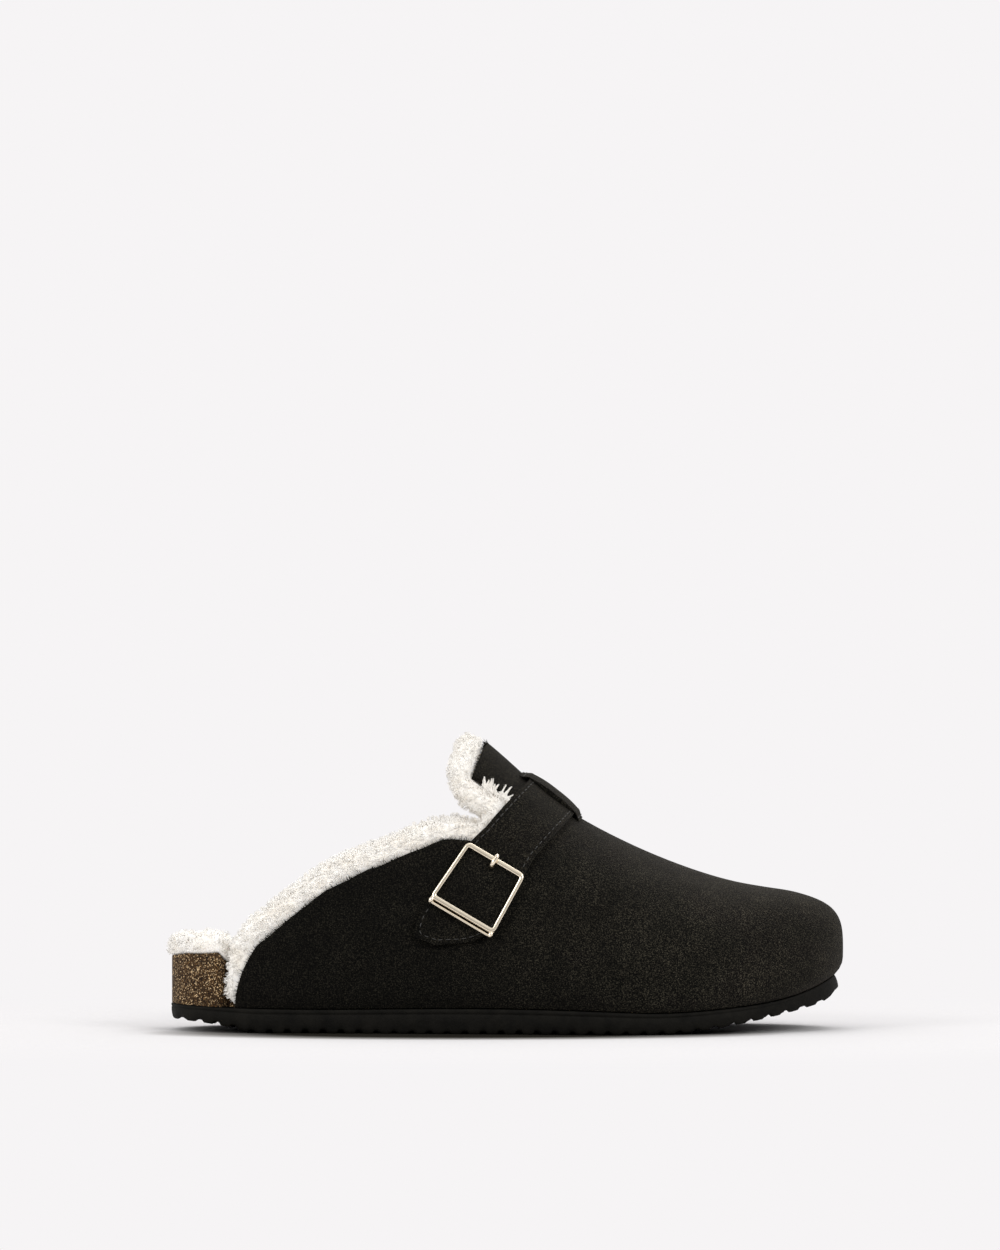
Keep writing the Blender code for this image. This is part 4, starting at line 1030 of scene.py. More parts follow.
# %% [markdown]
# ## The cork footbed
#
# Behind the upper the cork stands bare between sole and pile. Only its side is seen there, so it is drawn
# from the same height rule as the solid with a softly rounded rim, and the cork material does the rest.

# %% Build the footbed
def inset_of(along, column):
    """How far the footbed or the insole stands in from the outline."""
    return WALL * np.interp(along, [row.along for row in FITS], [getattr(row, column) for row in FITS])


def footbed_top(x, y):
    """Height of the footbed over a place in plan: a seat that turns up to a rim all round."""
    along = np.clip(x / SOLE_LENGTH, 0, 1)
    _, left = outline(station_of(along), LATERAL)
    _, right = outline(station_of(along), MEDIAL)
    share = np.clip((2 * y - left - right) / np.maximum(right - left, 1e-6), -1.1, 1.1)
    heel, toe = np.clip(1 - along / 0.10, 0, 1), np.clip(1 - (1 - along) / 0.10, 0, 1)
    near = np.clip((np.abs(share) ** 4 + heel**4 + toe**4) ** 0.25, 0, 1.05)
    seat, rim = seat_share(along), rim_share(along)
    return sole_top(along) + FOOTBED_RIM * (seat + (rim - seat) * near**3)


def bed_stations(count):
    """Stations over the length, with one at each place where the bed or the pile steps in or out."""
    fits = station_of(np.array([row.along for row in FITS[1:-1]]))
    return np.unique(np.round(np.concatenate([np.linspace(0, 1, count), fits]), 5))


def bed_grid(stations, inset, rows):
    """Plan positions over the footbed, as columns from heel to toe with rows from outside to inside."""
    left_x, left_y = edge(stations, LATERAL, inset)
    right_x, right_y = edge(stations, MEDIAL, inset)
    mix = (np.sin(np.linspace(-np.pi / 2, np.pi / 2, rows))[None, :] + 1) / 2
    x = left_x[:, None] * (1 - mix) + right_x[:, None] * mix
    y = left_y[:, None] * (1 - mix) + right_y[:, None] * mix
    return x, y


def build_footbed():
    """The cork block."""
    stations = bed_stations(91)
    x, y = bed_grid(stations, inset_of(along_of(stations), "bed"), 22)
    under = np.stack([x, y, sole_top(x / SOLE_LENGTH) + CLEARANCE], axis=-1)
    top = np.stack([x, y, footbed_top(x, y)], axis=-1)
    block = new_piece("cork_footbed", *sheet_arrays(top, under), cork)
    soften(block, 0.0007, angle=35)
    return block


footbed = build_footbed()
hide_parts("footbed")
print("footbed triangles:", triangles(footbed))

# %% [markdown]
# ## Locks of pile
#
# Curly pile isn't a bed of straight hairs. Fibres gather into locks a few millimetres apart, and each lock
# curls round itself. So a set of roots is scattered over a base shape, every root leans to the nearest
# lock, and the fibre runs up in a small spiral that thins to a point. Each fibre is a three-sided tapered
# tube of a few rings.

# %% Grow locks
GATHER, SOFTNESS = 0.55, 0.7
FIBRE_THICK, FIBRE_CURL = 0.00014, 0.00030
FIBRE_SIDES, FIBRE_RINGS = 3, 4
FIBRE_QUADS = FIBRE_SIDES * (FIBRE_RINGS - 1)
FULL_TURN, THIRD_TURN = 6.283, 2.0944
LOCK_PITCH, LOCK_HEIGHT = 0.0026, 0.0014


def scatter(points, faces, count, seed, weight=None):
    """Random places on quads, evenly spread by area, with their outward normals."""
    rng = np.random.default_rng(seed)
    a, b, c, d = (points[faces[:, k]] for k in range(4))
    normal = quad_normals(points, faces)
    area = np.linalg.norm(normal, axis=1)
    chance = area if weight is None else area * weight
    chosen = rng.choice(len(faces), size=count, p=chance / chance.sum())
    u, v = rng.random((2, count, 1))
    place = a[chosen] * (1 - u) * (1 - v) + b[chosen] * u * (1 - v)
    place = place + c[chosen] * u * v + d[chosen] * (1 - u) * v
    return place, normal[chosen] / np.maximum(area[chosen][:, None], 1e-15)


def fibre_arrays(root, normal, tips, thickness, curl, seed):
    """Points and quads of one curled fibre from each root to its tip, which strays a little."""
    rng = np.random.default_rng(seed)
    count = len(root)
    t = np.linspace(0, 1, FIBRE_RINGS)[None, :, None]
    tip = tips + rng.normal(0, curl * 0.55, (count, 3))
    side = unit(np.cross(normal, rng.normal(size=(count, 3))))
    other = np.cross(normal, side)
    phase = rng.random((count, 1, 1)) * FULL_TURN
    turns = rng.uniform(0.7, 1.5, (count, 1, 1)) * rng.choice([-1, 1], (count, 1, 1))
    swing = curl * np.sin(np.pi * np.minimum(t * 1.15, 1)) * rng.uniform(0.6, 1.3, (count, 1, 1))
    angle = phase + FULL_TURN * turns * t
    rise = root[:, None, :] + (tip - root)[:, None, :] * t
    lift = normal[:, None, :] * (np.linalg.norm(tip - root, axis=1)[:, None, None] * 0.30 * np.sin(np.pi * t))
    spine = rise + lift + swing * (np.cos(angle) * side[:, None, :] + np.sin(angle) * other[:, None, :])
    ahead = unit(np.gradient(spine, axis=1))
    first = unit(np.cross(ahead, normal[:, None, :] + 0.3 * side[:, None, :]))
    second = np.cross(ahead, first)
    radius = thickness * rng.uniform(0.75, 1.25, (count, 1, 1)) * (1 - 0.85 * t**2)
    turned = np.arange(FIBRE_SIDES) * THIRD_TURN
    corners = [math.cos(turn) * first + math.sin(turn) * second for turn in turned]
    points = np.stack([spine + radius * corner for corner in corners], axis=2).reshape(-1, 3)
    _, one = tube_arrays(np.zeros((FIBRE_RINGS, FIBRE_SIDES, 3)), closed=False)
    starts = np.arange(count) * FIBRE_RINGS * FIBRE_SIDES
    return points, (one[None] + starts[:, None, None]).reshape(-1, 4)


def soft_normals(points, toward):
    """Normals of fibres halfway between round tubes and the surface they grow from."""
    rings = points.reshape(-1, FIBRE_SIDES, 3)
    radial = unit((rings - rings.mean(axis=1, keepdims=True)).reshape(-1, 3))
    return unit(radial + SOFTNESS * np.repeat(unit(toward), len(points) // len(toward), axis=0))


def grow(name, base, faces, count, pitch, height, seed, weight=None, allow=None):
    """Locks of pile over a base of quads, pitch apart and height tall; allow says which roots may stay."""
    root, normal = scatter(base, faces, count, seed, weight)
    if allow is not None:
        keep = allow(normal)
        root, normal = root[keep], normal[keep]
    rng = np.random.default_rng(seed + 1)
    area = np.linalg.norm(quad_normals(base, faces), axis=1)
    area = area.sum() / 2 if weight is None else (area * weight / weight.max()).sum() / 2
    locks = max(8, int(area / pitch**2))
    pick = rng.choice(len(root), size=min(locks, len(root)), replace=False)
    tree = KDTree(len(pick))
    for i, p in enumerate(root[pick]):
        tree.insert(p, i)
    tree.balance()
    lock_of = np.array([tree.find(p)[1] for p in root])
    tips = root[pick] + normal[pick] * height * rng.uniform(0.80, 1.25, (len(pick), 1))
    tips += rng.normal(0, pitch * 0.25, tips.shape)
    straight = root + normal * height * rng.uniform(0.70, 1.05, (len(root), 1))
    pull = tips[lock_of] - straight
    pull *= np.minimum(1, 1.3 * height / np.maximum(np.linalg.norm(pull, axis=1, keepdims=True), 1e-9))
    tips = straight + GATHER * pull
    points, quads = fibre_arrays(root, normal, tips, FIBRE_THICK, FIBRE_CURL, seed + 2)
    return new_piece(name, points, quads, pile, merge=False, normals=soft_normals(points, normal))


print("a fibre takes", 2 * FIBRE_QUADS, "triangles")

# %% [markdown]
# ## The insole
#
# The insole is the same pile, glued over the cork. It covers the whole bed, stands some millimetres proud
# of the bare cork rim behind, and hangs over it a little. A lumpy blanket carries the locks.

# %% Build the insole
PILE_LENGTH = 0.0075
PILE_EDGE = 0.55
PILE_GLUE = 0.0006


def build_insole():
    """The blanket under the locks; returns the piece, its top points and quads."""
    stations = bed_stations(81)
    inset = np.maximum(inset_of(along_of(stations), "pile"), 0.0)
    x, y = bed_grid(stations, np.maximum(inset, inset_of(along_of(stations), "bed")), 30)
    for row, side in ((0, LATERAL), (-1, MEDIAL)):
        x[:, row], y[:, row] = edge(stations, side, inset)
    for tip in (0, -1):
        x[tip], y[tip] = x[tip, 0], y[tip, 0]
    low = footbed_top(x, y) + PILE_GLUE
    across = np.linspace(-1, 1, 30)[None, :]
    heel = np.clip(1 - np.linspace(0, 1, len(stations)) / 0.05, 0, 1)[:, None]
    border = np.clip((np.abs(across) ** 10 + heel**3), 0, 1)
    spread = np.stack([x, y, 0 * x], -1)
    lumps = 0.0011 * wobble(spread, 0.0070, 21) + 0.0005 * wobble(spread, 0.0035, 22)
    high = low + (PILE_LENGTH - 0.0007) * (1 - (1 - PILE_EDGE) * border) + lumps
    top, under = np.stack([x, y, high], -1), np.stack([x, y, low], -1)
    points, faces = sheet_arrays(top, under)
    return new_piece("pile_insole_base", points, faces, pile_base), points, faces


insole, insole_points, insole_faces = build_insole()
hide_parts("pile_insole")
print("insole base triangles:", triangles(insole))

# %% [markdown]
# The blanket's locks grow only where they can be seen: all over the bare heel, fewer towards the toes,
# where the upper hides them.

# %% Locks of the insole
INSOLE_FIBRES = 9200
SHOWN_AT = [0, 0.10, 0.30, 0.50, 0.62, 0.64]
SHOWN = [1.0, 1.0, 0.75, 0.5, 0.25, 0.0]


def upward(normal):
    """Which roots don't hang under the blanket."""
    return normal[:, 2] > -0.15


facing = quad_normals(insole_points, insole_faces)
if facing[: len(insole_faces) // 3, 2].mean() < 0:
    insole_faces = insole_faces[:, ::-1]
    facing = -facing
centre = insole_points[insole_faces].mean(axis=1)
showing = np.interp(centre[:, 0] / SOLE_LENGTH, SHOWN_AT, SHOWN)
showing = showing * (facing[:, 2] > -0.25 * np.linalg.norm(facing, axis=1))
insole_locks = grow(
    "pile_insole_locks", insole_points, insole_faces, INSOLE_FIBRES,
    LOCK_PITCH, LOCK_HEIGHT, 31, showing, upward,
)
print("insole fibres:", len(insole_locks.data.polygons) // FIBRE_QUADS)

# %% [markdown]
# ## The trim along the collar
#
# Where the upper is cut, the lining swells over its edge as a thick curly bead. On the real shoe it is the
# same pile, freed from the hide's pressure. It starts thin at the sole, behind the quarter, and swells
# towards the notch. The tongue has its own bead round its end.

# %% Paths of the beads
TRIM_WIDE, TRIM_DEEP = 0.0056, 0.0042
TRIM_FLAT_WIDE, TRIM_FLAT_DEEP = 0.0027, 0.0010
TRIM_PRESS, TRIM_START = 0.80, 0.0004
TRIM_SWELL_FROM, TRIM_SWELL_RISE = 0.031, 0.009
TRIM_WIDEN_FROM, TRIM_WIDEN_RISE = 0.010, 0.021


def edge_path(along, rise, sides, turn):
    """Points of the last along an edge, with their outward normals and the direction beyond the edge."""
    station = station_of(along)
    point = np.array([last_point(s, r, d) for s, r, d in zip(station, rise, sides)])
    normal = np.array([last_normal(s, r, d) for s, r, d in zip(station, rise, sides)])
    reach = 5
    ahead = np.array([
        point[min(i + reach, len(point) - 1)] - point[max(i - reach, 0)] for i in range(len(point))
    ])
    beyond = np.cross(normal, ahead) * turn
    return point, normal, unit(beyond)


def quarter_path(side):
    """The edge of one quarter: up its back and along its top, with how deep and how broad the bead is."""
    back = np.linspace(0.0, 1, 36)
    along = COLLAR_CORNER - BACK_LEAN / SOLE_LENGTH * (1 - back**2)
    low = sole_top(along) + TRIM_START
    height = low + (QUARTER_HEIGHT * float(collar_share(COLLAR_CORNER)) - low) * back
    top_along = np.linspace(COLLAR_CORNER, NOTCH_ALONG - 0.006, 190)[1:]
    along = np.concatenate([along, top_along])
    height = np.concatenate([height, QUARTER_HEIGHT * collar_share(top_along)])
    kernel = np.hanning(17)
    kernel /= kernel.sum()
    along[8:-8], height[8:-8] = np.convolve(along, kernel, "valid"), np.convolve(height, kernel, "valid")
    rise = rise_at(along, height, side)
    slim = 1 - 0.15 * np.clip((along - 0.40) / 0.10, 0, 1)
    deep = slim * np.clip((height - TRIM_SWELL_FROM) / TRIM_SWELL_RISE, 0, 1)
    broad = slim * np.clip((height - TRIM_WIDEN_FROM) / TRIM_WIDEN_RISE, 0, 1)
    return (*edge_path(along, rise, np.full(len(along), side), -side), deep, broad)


def tongue_path():
    """The edge of the tongue: up one side, round its end and down the other."""
    steps = np.linspace(0.02, 1, 56)
    rows = np.linspace(0, 1, 32)[1:]
    along, rise, sides = [], [], []
    for side in (LATERAL, MEDIAL):
        edge_along = tongue_edge(steps)
        edge_rise = rise_at(edge_along, TONGUE_HEIGHT * tongue_height(steps), side)
        end_along, end_rise = float(edge_along[-1]), float(edge_rise[-1])
        bowed = end_along + (float(tongue_ridge(1.0)) - end_along) * (1 - (1 - rows) ** 2)
        along.append(np.concatenate([edge_along, bowed]))
        rise.append(np.concatenate([edge_rise, end_rise + (1 - end_rise) * rows]))
        sides.append(np.full(len(along[-1]), side))
    along = np.concatenate([along[0], along[1][::-1][1:]])
    rise = np.concatenate([rise[0], rise[1][::-1][1:]])
    sides = np.concatenate([sides[0], sides[1][::-1][1:]])
    point, normal, beyond = edge_path(along, rise, sides, 1)
    kernel = np.hanning(19)[:, None]
    kernel /= kernel.sum()
    for line in (point, normal, beyond):
        padded = np.pad(line, ((9, 9), (0, 0)), mode="edge")
        line[:] = sum(kernel[k] * padded[k : k + len(line)] for k in range(19))
    from_end = np.minimum(np.arange(len(point)), np.arange(len(point))[::-1])
    full = np.clip(from_end / 12, 0.45, 1)
    swell = np.interp(from_end, [0, 10, 26, 40, 54], [1.3, 1.75, 1.5, 1.12, 1.0])
    return point, normal, beyond, full, full * swell


print("paths ready")

# %% [markdown]
# A bead is a tube swept along its path, flat against the hide at the sole and full at the collar, with
# noise for its lumps. Locks then grow from it wherever it stands free of the suede.

# %% Build the beads
def build_bead(name, path, seed, around=22):
    """A lumpy bead along an edge; returns the piece, its points, quads, and where each ring point stands."""
    point, normal, beyond, thick, broad = path
    count = len(point)
    angles = np.linspace(0, 2 * np.pi, around, endpoint=False)
    end = np.minimum(np.arange(count), np.arange(count)[::-1])
    taper = np.sqrt(np.clip(end / 5, 0.06, 1))
    deep = TRIM_FLAT_DEEP + (TRIM_DEEP - TRIM_FLAT_DEEP) * thick
    wide = TRIM_FLAT_WIDE + (TRIM_WIDE - TRIM_FLAT_WIDE) * broad
    reach = wide * (0.10 + 0.48 * broad)
    centre = point - normal * (WALL + CLEARANCE + TRIM_PRESS * deep)[:, None] + beyond * reach[:, None]
    wide = 0.97 * wide
    out, up = np.cos(angles), np.sin(angles)
    ring = centre[:, None] + (taper * deep)[:, None, None] * out[None, :, None] * normal[:, None]
    ring = ring + (taper * wide)[:, None, None] * up[None, :, None] * beyond[:, None]
    away = ring - centre[:, None]
    lumps = 1 + 0.13 * wobble(ring, 0.0060, seed) + 0.07 * wobble(ring, 0.0028, seed + 1)
    past_edge = reach[:, None] + wide[:, None] * up[None, :]
    hug = np.clip(out, 0, 1)[None, :] * np.clip(1 - past_edge / 0.001, 0, 1)
    ring = centre[:, None] + away * (lumps * (1 - 0.12 * hug))[..., None]
    points, faces = tube_arrays(ring, closed=False)
    over_edge = (reach[:, None] + (taper * wide)[:, None] * up[None, :]).ravel()
    outward = np.broadcast_to(out[None, :], (count, around)).ravel()
    piece = new_piece(name, points, faces, pile_base)
    return piece, points, faces, over_edge, outward


def grow_bead(name, node, path, count, seed):
    """A bead and its locks, standing for one trim node."""
    piece, points, faces, over_edge, outward = build_bead(name + "_base", path, seed)
    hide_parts(node)
    corner = faces[:, 0]
    free = (over_edge[corner] > 0.0014) | (outward[corner] < 0.0)
    centre = points[faces].mean(axis=1)
    middle = points.reshape(len(path[0]), -1, 3).mean(axis=1)
    away = centre - np.repeat(middle, points.shape[0] // len(path[0]), axis=0)[corner]
    if (quad_normals(points, faces) * away).sum(axis=1).mean() < 0:
        faces = faces[:, ::-1]
    weight = free.astype(float)
    locks = grow(name + "_locks", points, faces, count, LOCK_PITCH, LOCK_HEIGHT, seed + 5, weight)
    print(name, "fibres:", len(locks.data.polygons) // FIBRE_QUADS)


grow_bead("pile_collar_lateral", "pile_trim_lateral", quarter_path(LATERAL), 10800, 41)
grow_bead("pile_collar_medial", "pile_trim_medial", quarter_path(MEDIAL), 6200, 51)
grow_bead("pile_tongue", "pile_trim_tongue", tongue_path(), 7400, 61)

# %% [markdown]
# In the notch beside the tongue, wisps of pile spill over the cut edge and lie on the suede. Each wisp is a
# few fibres that start along the edge and meet in one point outside it.

# %% Wisps in the notch
WISPS, WISP_FIBRES = 56, 22
WISP_SPILL, WISP_CURL = 0.0052, 0.0003


def build_wisps(path, count, spill, seed):
    """Pointed wisps at both ends of a path; spill is how far the longest lies over the suede."""
    rng = np.random.default_rng(seed)
    point, normal, beyond = path[:3]
    last = len(point) - 1
    from_end = rng.integers(9, 46, count)
    centre = np.where(rng.random(count) < 0.5, from_end, last - from_end)
    far = spill * rng.uniform(0.15, 1.0, count) * np.interp(from_end, [4, 24, 44], [1.0, 0.8, 0.25])
    out = normal[centre] * rng.uniform(0.0002, 0.0007, (count, 1))
    lean = rng.normal(0, 0.0012, (count, 3))
    lean -= normal[centre] * (lean * normal[centre]).sum(axis=1, keepdims=True)
    tip = point[centre] + out - beyond[centre] * far[:, None] + lean
    wisp_of = np.repeat(np.arange(count), WISP_FIBRES)
    start = np.clip(centre[wisp_of] + rng.integers(-3, 4, len(wisp_of)), 0, last)
    depth = rng.uniform(-0.1, 1.0, (len(wisp_of), 1)) * WALL
    past = rng.uniform(0.0010, 0.0026, (len(wisp_of), 1))
    root = point[start] - normal[start] * depth + beyond[start] * past
    points, quads = fibre_arrays(root, beyond[start], tip[wisp_of], FIBRE_THICK, WISP_CURL, seed + 1)
    normals = soft_normals(points, normal[start] + 0.4 * beyond[start])
    return new_piece("pile_wisps", points, quads, pile, merge=False, normals=normals)


wisps = build_wisps(tongue_path(), WISPS, WISP_SPILL, 91)
print("wisp fibres:", len(wisps.data.polygons) // FIBRE_QUADS)

# %% [markdown]
# ## The lining inside
#
# The upper is lined with the same pile down to the insole. The solids leave it out, because the upper backs
# it all over, so it is added here: a skin a few millimetres inside the hide, bumpy, with locks where the
# eye can reach.

# %% Build the lining
LINING_GAP, LINING_LOWEST, LINING_END = 0.0032, 0.14, 0.97
LINING_FIBRES, LINING_PITCH, LINING_HEIGHT = 3200, 0.0036, 0.0020


def lining_points(station, rise, side):
    """Points of the upper moved inside its wall, with lumps."""
    point, normal = last_point(station, rise, side), last_normal(station, rise, side)
    lumps = 0.0008 * wobble(point, 0.0060, 71) + 0.0004 * wobble(point, 0.0028, 72)
    return point - normal * (WALL + LINING_GAP + lumps)[..., None]


def build_lining():
    """The pile skin inside the upper; returns the piece, its points and quads."""
    arrays, outward = [], []
    for side in (LATERAL, MEDIAL):
        for grid in (vamp_grid(side), quarter_grid(side), tongue_grid(side)):
            station, rise = (values[::2, ::2] for values in grid)
            station = np.clip(station, 0, float(station_of(LINING_END)))
            rise = np.maximum(rise, LINING_LOWEST)
            block = lining_points(station, rise, side)
            arrays.append((block.reshape(-1, 3), grid_faces(0, *block.shape[:2])))
            outward.append(last_normal(station, rise, side).reshape(-1, 3))
    points, faces = joined(arrays)
    turned = (quad_normals(points, faces) * np.concatenate(outward)[faces[:, 0]]).sum(axis=1) > 0
    faces[turned] = faces[turned][:, ::-1]
    return new_piece("pile_lining_base", points, faces, pile_base), points, faces


lining, lining_pts, lining_faces = build_lining()
centre = lining_pts[lining_faces].mean(axis=1)
seen = np.interp(centre[:, 0] / SOLE_LENGTH, [0.1, 0.45, 0.58, 0.60], [1.0, 0.8, 0.3, 0.0])
lining_locks = grow(
    "pile_lining_locks", lining_pts, lining_faces, LINING_FIBRES, LINING_PITCH, LINING_HEIGHT, 81, seen
)
print("lining triangles:", triangles(lining), "fibres:", len(lining_locks.data.polygons) // FIBRE_QUADS)

# %% [markdown]
# ## The strap
#
# A suede strap crosses the instep. Its free tip lies on the outer side, where the buckle holds it; its
# other end is sewn down on the inner side. It is laid over the last by walking along a slanted line and
# measuring square to it, just as the solid is, and then finished with stitches and prong holes.

# %% The strap's line on the last
STRAP_WIDTH, STRAP_THICKNESS = 0.0215, 0.0018
STRAP_MIDDLE_HEIGHT, STRAP_MIDDLE_ALONG = 0.0558, 0.460
STRAP_SLOPE, STRAP_BEND = 0.62, 13.5
STRAP_TIP_HEIGHT, STRAP_FIXED_HEIGHT = 0.0334, 0.0400


def strap_middle(height):
    """Where the strap's middle line stands along the shoe at a height, and its slope."""
    lift = height - STRAP_MIDDLE_HEIGHT
    x = STRAP_MIDDLE_ALONG * SOLE_LENGTH + STRAP_SLOPE * lift + STRAP_BEND / 2 * lift**2
    return x, STRAP_SLOPE + STRAP_BEND * lift


def on_strap(across, rise, side):
    """Station of the last where a rib's row crosses the strap, at a distance to the toe from its middle."""
    across, rise = np.broadcast_arrays(np.asarray(across, float), np.asarray(rise, float))

    def beyond(station):
        point = last_point(station, rise, side)
        x, slope = strap_middle(point[..., 2])
        return (point[..., 0] - x) / np.sqrt(1 + slope**2) - across

    low, high = float(station_of(0.30)), float(station_of(0.85))
    return solve(beyond, np.full(rise.shape, low), np.full(rise.shape, high))


def lifted(across, rise, side, offset):
    """A point over the last, at a distance across the strap and an offset out of the last."""
    station = on_strap(across, rise, side)
    return last_point(station, rise, side) + last_normal(station, rise, side) * np.asarray(offset)[..., None]


def strap_line():
    """The strap's middle line from its free tip over the ridge to its sewn end: sides, rises and lengths."""
    sides, rises, points = [], [], []
    for side, end in ((LATERAL, STRAP_TIP_HEIGHT), (MEDIAL, STRAP_FIXED_HEIGHT)):
        x, _ = strap_middle(end)
        run = np.linspace(float(rise_at(x / SOLE_LENGTH, end, side)), 1.0, 60)
        line = last_point(on_strap(np.zeros(60), run, side), run, side)
        order = slice(None) if side == LATERAL else slice(-2, None, -1)
        sides.append(np.full(60, side)[order])
        rises.append(run[order])
        points.append(line[order])
    sides, rises, points = np.concatenate(sides), np.concatenate(rises), np.concatenate(points)
    return sides, rises, points, running_length(points)


strap_sides, strap_rises, strap_points, strap_length = strap_line()


def strap_place(wanted):
    """Side and rise at wanted lengths along the strap."""
    signed = np.where(strap_sides < 0, strap_rises - 1, 1 - strap_rises)
    at = np.interp(wanted, strap_length, signed)
    return np.where(at <= 0, LATERAL, MEDIAL), 1 - np.abs(at)


print(f"the strap is {strap_length[-1] * 1000:.0f} mm long")

# %% [markdown]
# The buckle's place is found first, because the holes in the strap line up with its prong. The frame lies
# flat across the curved strap, touching it near its two bars, as a real frame does.

# %% Where the buckle lies
BUCKLE_HEIGHT = 0.0262
BUCKLE_TOP_WIDTH, BUCKLE_BOTTOM_WIDTH = 0.0262, 0.0284
BUCKLE_CORNER, BUCKLE_BAR, BUCKLE_SIDE, BUCKLE_DEPTH = 0.0024, 0.0021, 0.0017, 0.0019
BUCKLE_LIFT = 0.0009
ANCHOR_BAR_RADIUS, ANCHOR_BAR_DROP = 0.0006, 0.0021
PRONG_RADIUS = 0.0010
lateral = strap_sides < 0
buckle_middle = float(np.interp(STRAP_MIDDLE_HEIGHT, strap_points[lateral, 2], strap_length[lateral]))


def buckle_matrix():
    """Axes of the buckle: X across the strap to the toe, Y up the strap, Z away from the shoe."""
    bars = []
    for reach in (-BUCKLE_HEIGHT / 2, BUCKLE_HEIGHT / 2):
        side, rise = strap_place(np.array([buckle_middle + reach]))
        bars.append(lifted(0.0, rise[0], side[0], CLEARANCE + STRAP_THICKNESS + BUCKLE_LIFT))
    side, rise = strap_place(np.array([buckle_middle]))
    forward = lifted(0.005, rise[0], LATERAL, 0.0) - lifted(-0.005, rise[0], LATERAL, 0.0)
    up = Vector(bars[1] - bars[0]).normalized()
    right = Vector(forward)
    right = (right - up * right.dot(up)).normalized()
    matrix = Matrix((right, up, right.cross(up))).transposed().to_4x4()
    matrix.translation = Vector((bars[0] + bars[1]) / 2)
    return matrix


buckle_at = np.array(buckle_matrix())


def from_buckle(points):
    """Points of the buckle's own space in the shoe's."""
    points = np.asarray(points, float)
    return points @ buckle_at[:3, :3].T + buckle_at[:3, 3]


print("buckle stands at", np.round((buckle_at[:3, 3] + SHIFT) * 1000, 1), "mm")

# %% [markdown]
# The free tip is a broad rounded tab that leans a little to the heel. Its outline is a short table: how far
# from the end, how wide, and how far its middle stands to the toe. The curve through the rows gives the
# rounded corner.

# %% Outline of the strap
Tip = namedtuple("Tip", "reach half middle")
TIP = (
    Tip(0.02, 0.20, -0.25),
    Tip(0.093, 0.39, -0.21),
    Tip(0.186, 0.52, -0.15),
    Tip(0.302, 0.595, -0.095),
    Tip(0.465, 0.655, -0.035),
    Tip(0.633, 0.65, -0.01),
    Tip(0.93, 0.586, 0.0),
    Tip(1.86, 0.54, 0.0),
    Tip(2.14, 0.50, 0.0),
)
tip_half, tip_middle = reader(TIP, "half"), reader(TIP, "middle")


def strap_outline(length):
    """Half width of the strap and the place of its middle at lengths from the free tip."""
    share = np.minimum(length / STRAP_WIDTH, TIP[-1].reach)
    end = np.sqrt(np.clip(length / (0.1 * STRAP_WIDTH), 0, 1))
    return STRAP_WIDTH * tip_half(share) * end, STRAP_WIDTH * tip_middle(share)


print("half width at the buckle:", round(1000 * float(strap_outline(np.array([0.02]))[0][0]), 1), "mm")

# %% [markdown]
# The strap itself is a closed sheet between two grids. Holes are pressed into it rather than cut, and it
# swells a little inside the buckle, where the frame pinches it from all sides.

# %% Build the strap
HOLE_PITCH, HOLE_SIZE, PRONG_SETBACK = 0.0053, 0.0009, 0.0019
HOLE_DEPTH, HOLE_SOFT = 0.0011, 0.00012


def strap_holes():
    """Centres of the prong holes, as lengths along the strap."""
    along = buckle_middle + BUCKLE_HEIGHT / 2 - BUCKLE_BAR - PRONG_SETBACK
    return [along, along + 2.4 * HOLE_PITCH]


def pressed(across, length):
    """How deep the holes press the strap at places across it and a length along it."""
    past_rim = [np.hypot(across, length - hole) - HOLE_SIZE for hole in strap_holes()]
    return sum(HOLE_DEPTH / (1 + np.exp(gap / HOLE_SOFT)) for gap in past_rim)


def build_strap():
    """The strap with a rounded free tip, pressed-in holes and a slight swell inside the buckle."""
    tip = STRAP_WIDTH * np.linspace(0.03, 0.7, 36) ** 1.6
    wanted = np.concatenate([tip, np.linspace(tip[-1], strap_length[-1], 250)[1:]])
    widths, middles = strap_outline(wanted)
    share = np.sin(np.linspace(-np.pi / 2, np.pi / 2, 45))
    sides, rises = strap_place(wanted)
    outer, inner = [], []
    for side, rise, width, middle, length in zip(sides, rises, widths, middles, wanted):
        across = middle + share * width
        press = pressed(across, length)
        inside = max(0.0, 1 - ((length - buckle_middle) / (BUCKLE_HEIGHT * 0.45)) ** 2)
        swell = 0.0007 * inside * (1 - share**2)
        unevenness = 0.00016 * wobble(np.stack([across, 0 * across + length, 0 * across], -1), 0.006, 91)
        inner.append(lifted(across, rise, side, np.full(len(share), CLEARANCE)))
        outer.append(lifted(across, rise, side, CLEARANCE + STRAP_THICKNESS + swell + unevenness - press))
    piece = new_piece("suede_strap", *sheet_arrays(np.array(outer), np.array(inner)), strap_suede)
    soften(piece, 0.0004, angle=50)
    return piece


strap = build_strap()
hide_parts("strap")
print("strap triangles:", triangles(strap))

# %% [markdown]
# ## The keeper
#
# A patch of the same suede sits on the ridge of the instep. It is sewn down before and behind the strap, so
# the strap runs through a tunnel under it. Its section rises over the strap and falls to the vamp on both
# sides.

# %% Build the keeper
KEEPER_LENGTH, KEEPER_WIDTH, KEEPER_THICKNESS = 0.0285, 0.0250, 0.0016
KEEPER_THIN, KEEPER_CROWN = 0.22, 1.12


